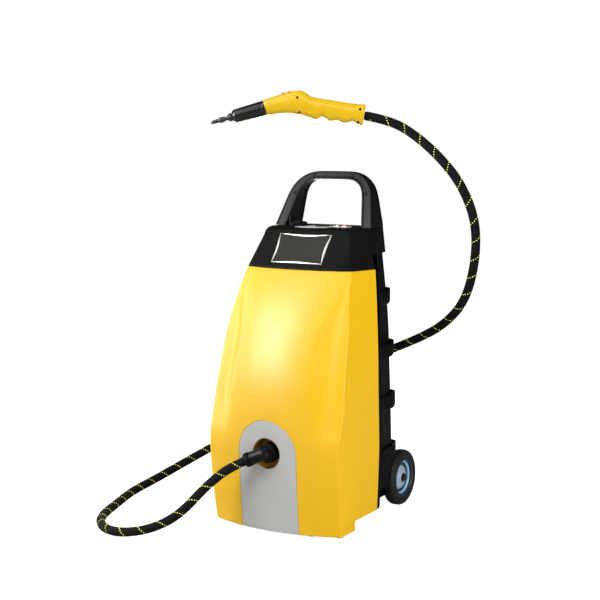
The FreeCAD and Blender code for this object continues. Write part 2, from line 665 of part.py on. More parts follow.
def make_water_side():
    tank_z = (395.0, 600.0)
    tank = box(-130, 130, -105, 90, *tank_z)
    tank = tank.makeFillet(18, tank.Edges)
    inside = box(-127, 127, -102, 87, tank_z[0] + WALL, tank_z[1] - WALL)
    inside = inside.makeFillet(15, inside.Edges)
    cap_x, cap_y = CAP_AT
    mouth = cylinder(NECK_R - WALL, (cap_x, cap_y, tank_z[1] - 10), Z_AXIS, 20)
    outlet = (-100.0, -60.0)
    drain = cylinder(5, (*outlet, tank_z[0] - 5), Z_AXIS, 15)
    save("water_tank", tank.cut(inside).cut(mouth).cut(drain))
    neck = ring(NECK_R - SEAM, NECK_R - WALL, (cap_x, cap_y, tank_z[1]), Z_AXIS,
                DECK_Z + NECK_RISE - tank_z[1])
    collar = ring(NECK_R + 3.5, NECK_R - SEAM, (cap_x, cap_y, DECK_Z), Z_AXIS, 2)
    save("filler_neck", fuse([neck, collar]))

    pump_x, pump_y, pump_z = -105.0, -60.0, 70.0
    pump = fuse([box(pump_x - 25, pump_x + 25, pump_y - 35, pump_y + 25, SKIRT_Z + 3, pump_z + 40),
                 cylinder(20, (pump_x, pump_y + 25, pump_z + 5), Y_AXIS, 60),
                 cylinder(7, (pump_x, pump_y - 5, pump_z + 40), Z_AXIS, 16)])
    save("feed_pump", pump)
    bend = 25.0
    suction = pipe([Vector(outlet[0], outlet[1], tank_z[0]), Vector(outlet[0], outlet[1], 250),
                    Vector(pump_x, pump_y - 5, 200), Vector(pump_x, pump_y - 5, pump_z + 56)], 5, bend)
    feed = pipe([Vector(pump_x, pump_y - 35, pump_z), Vector(pump_x, pump_y - 75, pump_z),
                 Vector(BOILER_AT[0], pump_y - 75, pump_z + 10),
                 Vector(BOILER_AT[0], BOILER_AT[1] - BOILER_R, pump_z + 10)], 3.5, 14)
    save("water_tubes", Part.Compound([suction, feed]))

    x, y = BOILER_AT
    high = BOILER_Z[1]
    steam = pipe([Vector(x, y - 14, high + 25), Vector(x, y - 105, high + 25), Vector(0, -165, high - 40),
                  Vector(0, -165, SOCKET_Z), Vector(0, SOCKET_FLOOR_Y + 20, SOCKET_Z)], 4, 18)
    save("steam_pipe", steam)


def make_electrics():
    board = fuse([box(-80, 80, -40, 60, 640, 642),
                  box(-60, -20, -10, 40, 642, 670), box(0, 30, -20, 10, 642, 662),
                  box(45, 70, 10, 50, 642, 655)])
    cap_x, cap_y = CAP_AT
    save("control_board", board.cut(cylinder(NECK_R + 2, (cap_x, cap_y, 600), Z_AXIS, 120)))


def make_deck_fittings():
    cap_x, cap_y = CAP_AT
    low = DECK_Z + NECK_RISE + SEAM
    seal = ring(NECK_R - 0.2, NECK_R - 8, (cap_x, cap_y, low), Z_AXIS, 2)
    save("cap_gasket", seal)
    lid_low = DECK_Z + 2 + SEAM
    top = cylinder(CAP_R, (cap_x, cap_y, lid_low), Z_AXIS, CAP_HEIGHT - 2)
    hollow = cylinder(NECK_R + SEAM, (cap_x, cap_y, lid_low), Z_AXIS, NECK_RISE + SEAM)
    fin_x = cap_x - CAP_R + 1.5
    fin = prism([(fin_x, cap_y - 10, lid_low + 6), (fin_x, cap_y + 6, lid_low + 6),
                 (fin_x, cap_y + 1, lid_low + 30), (fin_x, cap_y - 5, lid_low + 32)], Vector(4, 0, 0))
    save("filler_cap", fuse([top.cut(hollow), fin]))

    frames = []
    for name, switch_x in zip(("power", "heater"), SWITCH_XS):
        frame = fuse([box(switch_x - 7.8, switch_x + 7.8, SWITCH_Y - 9.8, SWITCH_Y + 9.8,
                          DECK_Z - 22, DECK_Z),
                      box(switch_x - 10, switch_x + 10, SWITCH_Y - 13, SWITCH_Y + 13, DECK_Z, DECK_Z + 3)])
        pocket = box(switch_x - 6.5, switch_x + 6.5, SWITCH_Y - 9, SWITCH_Y + 9, DECK_Z - 9, DECK_Z + 4)
        frames.append(frame.cut(pocket))
        outline = [(switch_x - 6.1, SWITCH_Y - 8.0, DECK_Z + 0.5),
                   (switch_x - 6.1, SWITCH_Y - 7.6, DECK_Z + 7),
                   (switch_x - 6.1, SWITCH_Y, DECK_Z + 4.5), (switch_x - 6.1, SWITCH_Y + 7.8, DECK_Z + 4.5),
                   (switch_x - 6.1, SWITCH_Y + 8.0, DECK_Z - 3), (switch_x - 6.1, SWITCH_Y, DECK_Z - 5)]
        save(f"{name}_rocker", prism(outline, Vector(12.2, 0, 0)))
    save("switch_frames", Part.Compound(frames))

    gauge_x, gauge_y = GAUGE_AT
    face_z = DECK_Z - 1
    body = fuse([cylinder(GAUGE_R - SEAM, (gauge_x, gauge_y, face_z - 16), Z_AXIS, 16),
                 ring(GAUGE_R - SEAM, GAUGE_R - 2.5, (gauge_x, gauge_y, face_z), Z_AXIS, 5),
                 cylinder(4, (gauge_x, gauge_y, face_z - 24), Z_AXIS, 8),
                 cylinder(1, (gauge_x, gauge_y, face_z), Z_AXIS, 1.9)])
    save("gauge_body", body)
    needle_z = face_z + 0.9
    pointer = [(gauge_x - dx, gauge_y - dy, needle_z)
               for dx, dy in ((9.4, 7.8), (7.8, 9.4), (1.0, 2.0), (2.0, 1.0))]
    save("gauge_needle", fuse([ring(2.4, 1.05, (gauge_x, gauge_y, needle_z), Z_AXIS, 0.8),
                               prism(pointer, Vector(0, 0, 0.8))]))
    save("gauge_lens", cylinder(GAUGE_R - 2.5 - 0.1, (gauge_x, gauge_y, face_z + 2.6), Z_AXIS, 2))


# ---------------------------------------------------------------- hose

def make_hose():
    points = [Vector(*point) for point in HOSE_ROUTE]
    radii = corner_radii(points)
    print("hose radii:", " ".join(f"{radius:.0f}" for radius in radii))
    save("hose", swept(points, HOSE_D, radii))

    start = points[0]
    back = (points[0] - points[1]).normalize()
    reach = (start - ELBOW_AT).Length - 6
    spigot = Part.makeCylinder(SPIGOT_R, reach, start, back)
    clear = CLAMP_WIDE + 2
    sleeve = Part.makeCylinder(SLEEVE_R, reach - clear, start + back * clear, back)
    neck = cylinder(ELBOW_R, ELBOW_AT, Y_AXIS, NECK_LENGTH)
    behind_neck = box(-30, 30, ELBOW_AT.y + NECK_LENGTH, ELBOW_AT.y + 40, SOCKET_Z - 30, SOCKET_Z + 30)
    ball = Part.makeSphere(ELBOW_R, ELBOW_AT)
    nut_start = ELBOW_AT + Vector(0, HOSE_NUT_START, 0)
    nut_space = ring(HOSE_NUT_R + 2, ELBOW_R, nut_start - Vector(0, SEAM, 0), Y_AXIS, NECK_LENGTH)
    save("hose_elbow", fuse([spigot, sleeve, ball, neck]).cut(behind_neck).cut(nut_space))
    nut = ring(HOSE_NUT_R, ELBOW_R + SEAM, nut_start, Y_AXIS, NECK_LENGTH - HOSE_NUT_START)
    tail = ring(HOSE_NUT_R, 12, ELBOW_AT + Vector(0, NECK_LENGTH, 0), Y_AXIS, HOSE_NUT_TAIL)
    save("hose_nut", fuse([nut, tail]))
    clamp_start = start + back * 1
    clamp = Part.makeCylinder(CLAMP_R, CLAMP_WIDE, clamp_start, back)
    save("hose_clamp", clamp.cut(Part.makeCylinder(SPIGOT_R, CLAMP_WIDE, clamp_start, back)))


# ---------------------------------------------------------------- gun

def gun_point(u, z, w=0.0):
    """A point of the gun: u along it, z above the floor, w across it."""
    turn = math.radians(GUN_TURN)
    return GUN_AT + Vector(u * math.cos(turn) - w * math.sin(turn),
                           u * math.sin(turn) + w * math.cos(turn), z)


def gun_across():
    return (gun_point(0, 0, 1) - gun_point(0, 0, 0)).normalize()


def barrel_point(along):
    """A point on the barrel's axis, along is towards the nozzle."""
    drop = math.radians(BARREL_DROP)
    u, z = BARREL_BACK
    return gun_point(u - along * math.cos(drop), z - along * math.sin(drop))


def gun_profile(w):
    """The gun body seen from the side, with finger grips below and a hump on top."""
    top = [(-94, 1081), (-48, 1096), (-16, 1104), (0, 1105.5), (12, 1101), (29, 1090), (83, 1080.5),
           (138, 1072), (166, 1070.5)]
    grip = [(157, 1017.5), (143, 1022), (130, 1028), (111, 1024), (93, 1031.5), (75, 1029), (56.5, 1040),
            (39, 1033.5), (20, 1040), (-4, 1046), (-39, 1049), (-84, 1044)]
    upper = Part.BSplineCurve()
    upper.interpolate([gun_point(u, z, w) for u, z in top])
    lower = Part.BSplineCurve()
    lower.interpolate([gun_point(u, z, w) for u, z in grip])
    return Part.Face(Part.Wire([
        upper.toShape(),
        Part.LineSegment(gun_point(*top[-1], w), gun_point(*grip[0], w)).toShape(),
        lower.toShape(),
        Part.LineSegment(gun_point(*grip[-1], w), gun_point(*top[0], w)).toShape(),
    ]))


def button_block(start, length, low, high, half_wide):
    """A block square to the gun's top, between two heights above that surface."""
    slope = math.atan(BUTTON_SLOPE)
    outline = []
    for along, up in ((0, low), (length, low), (length, high), (0, high)):
        u = start + along * math.cos(slope) - up * math.sin(slope)
        z = 1096 + (start + 48) * BUTTON_SLOPE + along * math.sin(slope) + up * math.cos(slope)
        outline.append(gun_point(u, z, -half_wide))
    return prism(outline, gun_across() * (2 * half_wide))


def is_on_side(edge, side):
    """True for an edge that lies in the gun body's flat side."""
    reaches = [(point - GUN_AT).dot(gun_across()) * side for point in edge.discretize(3)]
    return min(reaches) > GUN_HALF_THICK - 0.1


def make_gun():
    forward = (barrel_point(1) - barrel_point(0)).normalize()
    across = gun_across()
    hose_end = Vector(*HOSE_ROUTE[-1])
    tail = (Vector(*HOSE_ROUTE[-2]) - hose_end).normalize()
    ferrule_in = hose_end - tail * FERRULE_LENGTH
    save("gun_ferrule", Part.makeCylinder(FERRULE_R, FERRULE_LENGTH, ferrule_in, tail))

    bore = Part.makeCylinder(FERRULE_R + SWIVEL_GAP, FERRULE_LENGTH + 20, ferrule_in - tail * VALVE_GAP, tail)
    chamber = Part.makeCylinder(CHAMBER_R, 100, barrel_point(2), forward * -1)
    channel_start = gun_point(*CHANNEL_START)
    to_ferrule = ferrule_in - channel_start
    channel = Part.makeCylinder(CHANNEL_R, to_ferrule.Length, channel_start, to_ferrule)
    space = fuse([bore, chamber, channel])
    for start in BUTTON_STARTS.values():
        space = space.fuse(button_block(start - 0.4, BUTTON_LENGTH + 0.8, -14, 12, 6.4))
    screws = []
    for u, z in GUN_SCREWS:
        screws.append(Part.makeCylinder(3, 3.5, gun_point(u, z, 1 - GUN_HALF_THICK), across))
    body = gun_profile(-GUN_HALF_THICK).extrude(across * (2 * GUN_HALF_THICK))
    rounded = [edge for edge in body.Edges if is_on_side(edge, -1) or is_on_side(edge, 1)]
    body = body.makeFillet(GUN_EDGE_R, rounded).cut(space)
    for name, side in (("left", -1), ("right", 1)):
        reach = 60.0
        middle = [gun_point(u, z, side * SEAM / 2) for u, z in
                  ((-200, 950), (250, 950), (250, 1200), (-200, 1200))]
        half = body.common(prism(middle, across * (side * reach)))
        if side < 0:
            half = half.cut(Part.Compound(screws))
        save(f"gun_shell_{name}", half)
    save("gun_screws", Part.Compound(screws))

    barrel = revolved([(0, 9), (0, BARREL_R[1]), (BARREL_LENGTH - 4, BARREL_R[0]),
                       (BARREL_LENGTH, BARREL_R[0] - 4), (BARREL_LENGTH, 9)], barrel_point(SEAM), forward)
    save("gun_barrel", barrel)
    tube = Part.makeCylinder(LANCE_R, LANCE_LENGTH, barrel_point(LANCE_BACK), forward)
    collar = revolved([(0, LANCE_R), (0, 10.5), (5, 10.5), (7, 7), (11, 7), (11, LANCE_R)],
                      barrel_point(BARREL_LENGTH + 1), forward)
    bore = Part.makeCylinder(LANCE_R / 2, LANCE_LENGTH, barrel_point(LANCE_BACK), forward)
    save("lance_tube", fuse([tube, collar]).cut(bore))
    tip = revolved([(0, 1.5), (0, 6), (8, 7), (13, 7), (16, 5), (31, 4.6), (37, 2.8), (37, 1.5)],
                   barrel_point(LANCE_BACK + LANCE_LENGTH + SEAM), forward)
    save("nozzle_tip", tip)
    valve = Part.makeCylinder(CHAMBER_R - 1, 46, barrel_point(LANCE_BACK - SEAM), forward * -1)
    feed = Part.makeCylinder(CHANNEL_R - 2, to_ferrule.Length - VALVE_GAP, channel_start, to_ferrule)
    save("gun_valve", fuse([valve, feed]))
    for name, start in BUTTON_STARTS.items():
        save(f"{name}_button", button_block(start, BUTTON_LENGTH, -5, 2.2, 6))


def main():
    os.makedirs("parts", exist_ok=True)
    make_front()
    make_housing()
    make_handle()
    make_rear_shell()
    make_rear_fittings()
    make_chassis()
    make_wheel(-1, "left")
    make_wheel(1, "right")
    make_axle_nuts()
    make_boiler()
    make_water_side()
    make_electrics()
    make_deck_fittings()
    make_hose()
    make_gun()


main()
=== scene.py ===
import math

import bmesh
import bpy
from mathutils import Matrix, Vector


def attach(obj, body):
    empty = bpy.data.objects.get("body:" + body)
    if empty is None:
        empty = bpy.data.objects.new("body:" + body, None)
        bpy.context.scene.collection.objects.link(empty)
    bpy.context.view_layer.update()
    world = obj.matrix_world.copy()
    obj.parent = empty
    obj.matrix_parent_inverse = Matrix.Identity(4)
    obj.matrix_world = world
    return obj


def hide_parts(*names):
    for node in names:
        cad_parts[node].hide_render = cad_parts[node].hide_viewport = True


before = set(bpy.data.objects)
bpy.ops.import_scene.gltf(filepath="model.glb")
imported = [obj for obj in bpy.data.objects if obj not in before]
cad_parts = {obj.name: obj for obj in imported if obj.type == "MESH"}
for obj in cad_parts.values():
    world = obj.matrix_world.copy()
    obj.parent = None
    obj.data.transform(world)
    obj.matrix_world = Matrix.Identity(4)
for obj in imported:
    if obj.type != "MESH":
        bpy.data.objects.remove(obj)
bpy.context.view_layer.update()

MM = 0.001
TURN = 2 * math.pi
RIGHT, BACKWARD, UP = (1, 0, 0), (0, 1, 0), (0, 0, 1)


# ---------------------------------------------------------------- camera

def make_camera():
    data = bpy.data.cameras.new("camera")
    data.lens = 81.9
    data.sensor_width = 36.0
    data.clip_end = 50.0
    camera = bpy.data.objects.new("camera", data)
    bpy.context.collection.objects.link(camera)
    camera.location = (1.790, -3.063, 0.984)
    pitch = math.radians(6.727)
    heading = Vector((-0.515, 0.857, 0.0)).normalized() * math.cos(pitch)
    heading.z = -math.sin(pitch)
    camera.rotation_euler = heading.to_track_quat("-Z", "Y").to_euler()
    bpy.context.scene.camera = camera


make_camera()


# ---------------------------------------------------------------- shapes: (points, faces), in millimetres

def joined(shapes):
    points, faces = [], []
    for shape_points, shape_faces in shapes:
        first = len(points)
        points += shape_points
        faces += [tuple(first + corner for corner in face) for face in shape_faces]
    return points, faces


def mirrored(shape):
    """The same shape on the other side of the machine's middle."""
    points, faces = shape
    return [Vector((-p[0], p[1], p[2])) for p in points], [tuple(reversed(face)) for face in faces]


def both_sides(shape):
    return joined([shape, mirrored(shape)])


def across_middle(half):
    """A line that ends on the machine's middle, followed by its mirror image."""
    return half + [Vector((-p.x, p.y, p.z)) for p in reversed(half[:-1])]


def rounded(points, reach, closed=False, steps=4):
    """A line of points with its corners rounded, each over the given reach."""
    points = [Vector(point) for point in points]
    reaches = reach if isinstance(reach, (list, tuple)) else [reach] * len(points)
    smooth = []
    for index, corner in enumerate(points):
        if not closed and index in (0, len(points) - 1):
            smooth.append(corner)
            continue
        before = points[index - 1] - corner
        after = points[(index + 1) % len(points)] - corner
        span = min(reaches[index], 0.48 * before.length, 0.48 * after.length)
        if span < 0.01:
            smooth.append(corner)
            continue
        start = corner + before.normalized() * span
        end = corner + after.normalized() * span
        for step in range(steps + 1):
            t = step / steps
            smooth.append(start.lerp(corner, t).lerp(corner.lerp(end, t), t))
    return smooth


def loft(rings, caps=True, around=False):
    """Faces between closed rings of points. around joins the last ring to the first."""
    count = len(rings[0])
    points = [Vector(point) for one in rings for point in one]
    faces = []
    last = len(rings) if around else len(rings) - 1
    for row in range(last):
        below, above = row * count, (row + 1) % len(rings) * count
        for index in range(count):
            after = (index + 1) % count
            faces.append((below + index, below + after, above + after, above + index))
    if caps and not around:
        faces.append(tuple(reversed(range(count))))
        faces.append(tuple(range(len(points) - count, len(points))))
    return points, faces


def across_axis(axis):
    """Two directions square to an axis and to each other."""
    axis = Vector(axis).normalized()
    side = Vector((0, 0, 1)) if abs(axis.z) < 0.9 else Vector((1, 0, 0))
    first = axis.cross(side).normalized()
    return first, axis.cross(first).normalized()


def spokes(axis, count):
    """(angle, direction) of evenly spaced lines that stand square to an axis."""
    first, second = across_axis(axis)
    angles = [TURN * index / count for index in range(count)]
    return [(angle, first * math.cos(angle) + second * math.sin(angle)) for angle in angles]


def lathe(profile, at, axis, count=48, shape=None):
    """A turned profile of (along the axis, radius). shape gives the reach for an angle and a radius."""
    at, axis = Vector(at), Vector(axis).normalized()
    ways = spokes(axis, count)
    rings = []
    for along, radius in profile:
        radius = max(radius, 0.01)
        rings.append([at + axis * along + out * (shape(angle, radius) if shape else radius) for angle,
                      out in ways])
    return loft(rings)


def rod(radius, at, axis, length, count=64):
    return lathe([(0, radius), (length, radius)], at, axis, count)


def profile_line(profile, reach, closed=False):
    """A profile of (along, radius) with its corners rounded."""
    return rounded([(along, radius, 0) for along, radius in profile], reach, closed, 3)


def turned(profile, at, axis, reach=0.6, count=48):
    """A lathe shape whose profile corners are rounded."""
    return lathe([(p.x, p.y) for p in profile_line(profile, reach)], at, axis, count)


def hollow(profile, at, axis, reach=0.6, count=48, ridge=None):
    """A turned ring: the profile is a closed loop of (along, radius). ridge adds to the radius."""
    line = profile_line(profile, reach, True)
    at, axis = Vector(at), Vector(axis).normalized()
    rings = []
    for angle, out in spokes(axis, count):
        rings.append([at + axis * p.x + out * (p.y + (ridge(angle, p) if ridge else 0)) for p in line])
    return loft(rings, around=True)


def headings_along(points):
    last = len(points) - 1
    return [(points[min(k + 1, last)] - points[max(k - 1, 0)]).normalized() for k in range(len(points))]


def frames_along(points):
    """A heading and two square directions at each point, turning no more than the line does."""
    headings = headings_along(points)
    normal = across_axis(headings[0])[0]
    result = []
    for heading in headings:
        normal = (normal - heading * normal.dot(heading)).normalized()
        result.append((heading, normal, heading.cross(normal)))
    return result


def slab(outline, direction):
    """A straight prism from a closed outline."""
    outline = [Vector(point) for point in outline]
    return loft([outline, [point + Vector(direction) for point in outline]])


def oblong(x0, x1, y0, y1, z=0.0):
    """The four corners of a level rectangle."""
    return [(x0, y0, z), (x1, y0, z), (x1, y1, z), (x0, y1, z)]


def block(x0, x1, y0, y1, z0, z1):
    return slab(oblong(x0, x1, y0, y1, z0), (0, 0, z1 - z0))


def bevelled(outline, middle, direction, steps):
    """A plate with eased edges: its outline at each (place along the direction, inset towards the middle)."""
    return loft([[p + (middle - p).normalized() * inset + Vector(direction) * place for p in outline]
                 for place, inset in steps])


def bar_along(base, side, half_low, half_high, out, run):
    """A straight bar with a section that narrows outwards."""
    return slab([base - side * half_low, base + side * half_low, base + side * half_high + out,
                 base - side * half_high + out], run)


def tube_along(points, frames, radius, count):
    """A tube along a line. radius gives the reach for an angle round it."""
    rings = []
    for at, (_, normal, binormal) in zip(points, frames):
        one = []
        for index in range(count):
            angle = TURN * index / count
            one.append(at + (normal * math.cos(angle) + binormal * math.sin(angle)) * radius(angle))
        rings.append(one)
    return loft(rings)


def to_mesh(name, shape):
    points, faces = shape
    mesh = bpy.data.meshes.new(name)
    mesh.from_pydata([tuple(point * MM) for point in points], [], faces)
    work = bmesh.new()
    work.from_mesh(mesh)
    bmesh.ops.remove_doubles(work, verts=work.verts, dist=0.004 * MM)
    bmesh.ops.recalc_face_normals(work, faces=work.faces)
    work.to_mesh(mesh)
    work.free()
    return mesh


def new_object(name, mesh):
    made = bpy.data.objects.new(name, mesh)
    bpy.context.collection.objects.link(made)
    return made


def combined(made, shape, operation):
    """Cuts a shape from an object, or adds it."""
    tool = new_object("tool", to_mesh("tool", shape))
    change = made.modifiers.new("change", "BOOLEAN")
    change.operation = operation
    change.solver = "EXACT"
    change.object = tool
    apply_modifiers(made)
    bpy.data.objects.remove(tool)


def apply_modifiers(made):
    graph = bpy.context.evaluated_depsgraph_get()
    mesh = bpy.data.meshes.new_from_object(made.evaluated_get(graph))
    made.modifiers.clear()
    old = made.data
    made.data = mesh
    bpy.data.meshes.remove(old)


def shade(made, sharp_angle):
    """Smooth faces, with edges past the angle kept sharp."""
    limit = math.radians(sharp_angle)
    work = bmesh.new()
    work.from_mesh(made.data)
    bmesh.ops.dissolve_degenerate(work, dist=0.001 * MM, edges=work.edges)
    for face in work.faces:
        face.smooth = True
    for edge in work.edges:
        edge.smooth = len(edge.link_faces) != 2 or edge.calc_face_angle(0.0) < limit
    work.to_mesh(made.data)
    work.free()


def piece(name, shape, look, body, nodes=(), sharp=38, cuts=(), adds=()):
    """One finished object: its shape, its look, the body it rides on and the CAD nodes it stands for."""
    made = new_object(name, to_mesh(name, shape))
    for extra in adds:
        combined(made, extra, "UNION")
    for cut in cuts:
        combined(made, cut, "DIFFERENCE")
    shade(made, sharp)
    material = LOOK[look]
    made.data.materials.clear()
    made.data.materials.append(material)
    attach(made, body)
    if nodes:
        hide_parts(*nodes)
    return made


# ---------------------------------------------------------------- materials

class Nodes:
    """A small helper that adds and links the nodes of one material."""

    def __init__(self, name, slot):
        self.material = bpy.data.materials.new(name)
        self.material.use_nodes = True
        self.material["slot"] = slot
        self.tree = self.material.node_tree
        self.shader = self.tree.nodes["Principled BSDF"]
        self.place = self.add("ShaderNodeTexCoord").outputs["Object"]

    def add(self, kind, **values):
        node = self.tree.nodes.new(kind)
        for key, value in values.items():
            setattr(node, key, value)
        return node

    def link(self, a, b):
        self.tree.links.new(a, b)

    def fill(self, pairs):
        """Each socket takes a number, a colour or another node's output."""
        for socket, value in pairs:
            if isinstance(value, (int, float)):
                socket.default_value = value
            elif isinstance(value, tuple):
                socket.default_value = (*value, 1.0)
            else:
                self.link(value, socket)

    def set(self, **values):
        """Sets the shader's own sockets, named with underscores for spaces."""
        for key, value in values.items():
            self.shader.inputs[key.replace("_", " ")].default_value = value

    def noise(self, size, detail=3.0, place=None):
        """Noise whose lumps measure about size millimetres."""
        node = self.add("ShaderNodeTexNoise")
        node.inputs["Scale"].default_value = 1.0 / (size * MM)
        node.inputs["Detail"].default_value = detail
        self.link(place or self.place, node.inputs["Vector"])
        return node.outputs["Fac"]

    def span(self, value, low, high, out_low, out_high):
        node = self.add("ShaderNodeMapRange")
        for key, number in (("From Min", low), ("From Max", high), ("To Min", out_low), ("To Max", out_high)):
            node.inputs[key].default_value = number
        self.link(value, node.inputs["Value"])
        return node.outputs["Result"]

    def math(self, operation, a, b):
        node = self.add("ShaderNodeMath", operation=operation)
        self.fill(zip(node.inputs, (a, b)))
        return node.outputs[0]

    def mix(self, share, a, b):
        node = self.add("ShaderNodeMix", data_type="RGBA")
        self.link(share, node.inputs[0])
        self.fill(((node.inputs[6], a), (node.inputs[7], b)))
        return node.outputs[2]

    def bump(self, height, strength, depth):
        node = self.add("ShaderNodeBump")
        node.inputs["Strength"].default_value = strength
        node.inputs["Distance"].default_value = depth * MM
        self.link(height, node.inputs["Height"])
        self.link(node.outputs["Normal"], self.shader.inputs["Normal"])


def scaled(colour, factor):
    return tuple(min(1.0, channel * factor) for channel in colour)


def material(name, slot, colour, rough, metal=0.0, mottle=0.05, mottle_size=60, grain=0.25, grain_size=0.8,
             worn=0.2, worn_colour=None, coat=0.0, stretch=None, specular=0.5, rough_spread=0.06):
    """A moulded, painted or metal surface: mottled colour, worn edges, uneven gloss and a fine grain."""
    kit = Nodes(name, slot)
    shader = kit.shader
    place = None
    if stretch:
        mapping = kit.add("ShaderNodeMapping")
        mapping.inputs["Scale"].default_value = stretch
        kit.link(kit.place, mapping.inputs["Vector"])
        place = mapping.outputs["Vector"]
    broad = kit.noise(mottle_size)
    surface = kit.mix(kit.span(broad, 0.3, 0.7, 0.0, 1.0), scaled(colour, 1 - mottle),
                      scaled(colour, 1 + mottle))
    edges = kit.add("ShaderNodeNewGeometry").outputs["Pointiness"]
    rubbed = kit.span(edges, 0.53, 0.62, 0.0, worn)
    patchy = kit.math("MULTIPLY", rubbed, kit.span(kit.noise(7), 0.4, 0.62, 0.25, 1.0))
    surface = kit.mix(patchy, surface, worn_colour or scaled(colour, 1.6))
    kit.link(surface, shader.inputs["Base Color"])
    uneven = kit.noise(mottle_size / 4, 4.0)
    kit.link(kit.span(uneven, 0.3, 0.7, rough - rough_spread, rough + rough_spread),
             shader.inputs["Roughness"])
    kit.bump(kit.noise(grain_size, 2.0, place), grain, 0.05)
    kit.set(Metallic=metal, Coat_Weight=coat, Coat_Roughness=0.15, Specular_IOR_Level=specular)
    return kit.material


def glass_material():
    kit = Nodes("lens_glass", "gauge_glass")
    kit.link(kit.span(kit.noise(9), 0.3, 0.7, 0.03, 0.10), kit.shader.inputs["Roughness"])
    kit.link(kit.mix(kit.noise(20), (0.93, 0.97, 0.97), (0.98, 1.0, 1.0)), kit.shader.inputs["Base Color"])
    kit.set(Transmission_Weight=0.95)
    kit.bump(kit.noise(6), 0.05, 0.02)
    return kit.material


YARNS_ALONG = 95.0           # turns of phase for each unit of the yarn map along the hose
YARNS_AROUND = 26            # yarns of each set round the hose


def hose_material():
    """A braided black cover: two sets of crossing yarns, drawn along the hose by its yarn map."""
    kit = Nodes("hose_textile", "hose_textile")
    along_around = kit.add("ShaderNodeUVMap", uv_map="yarn").outputs["UV"]
    split = kit.add("ShaderNodeSeparateXYZ")
    kit.link(along_around, split.inputs[0])
    along, around = split.outputs[0], split.outputs[1]
    strands = []
    for way in (1, -1):
        phase = kit.math("ADD", kit.math("MULTIPLY", along, YARNS_ALONG * way),
                         kit.math("MULTIPLY", around, TURN * YARNS_AROUND))
        strands.append(kit.math("SINE", phase, 0.0))
    yarn = kit.math("MAXIMUM", strands[0], strands[1])
    fuzz = kit.noise(0.7, 3.0)
    shadow = kit.span(yarn, -0.4, 1.0, 0.0, 1.0)
    cloth = kit.mix(shadow, (0.001, 0.001, 0.001), (0.006, 0.006, 0.006))
    cloth = kit.mix(kit.span(fuzz, 0.45, 0.75, 0.0, 0.4), cloth, (0.014, 0.014, 0.014))
    kit.link(cloth, kit.shader.inputs["Base Color"])
    kit.link(kit.span(fuzz, 0.3, 0.7, 0.75, 0.95), kit.shader.inputs["Roughness"])
    kit.bump(kit.math("ADD", yarn, kit.math("MULTIPLY", fuzz, 0.6)), 0.7, 0.35)
    kit.set(Sheen_Weight=0.01, Sheen_Roughness=0.5, Specular_IOR_Level=0.06)
    return kit.material


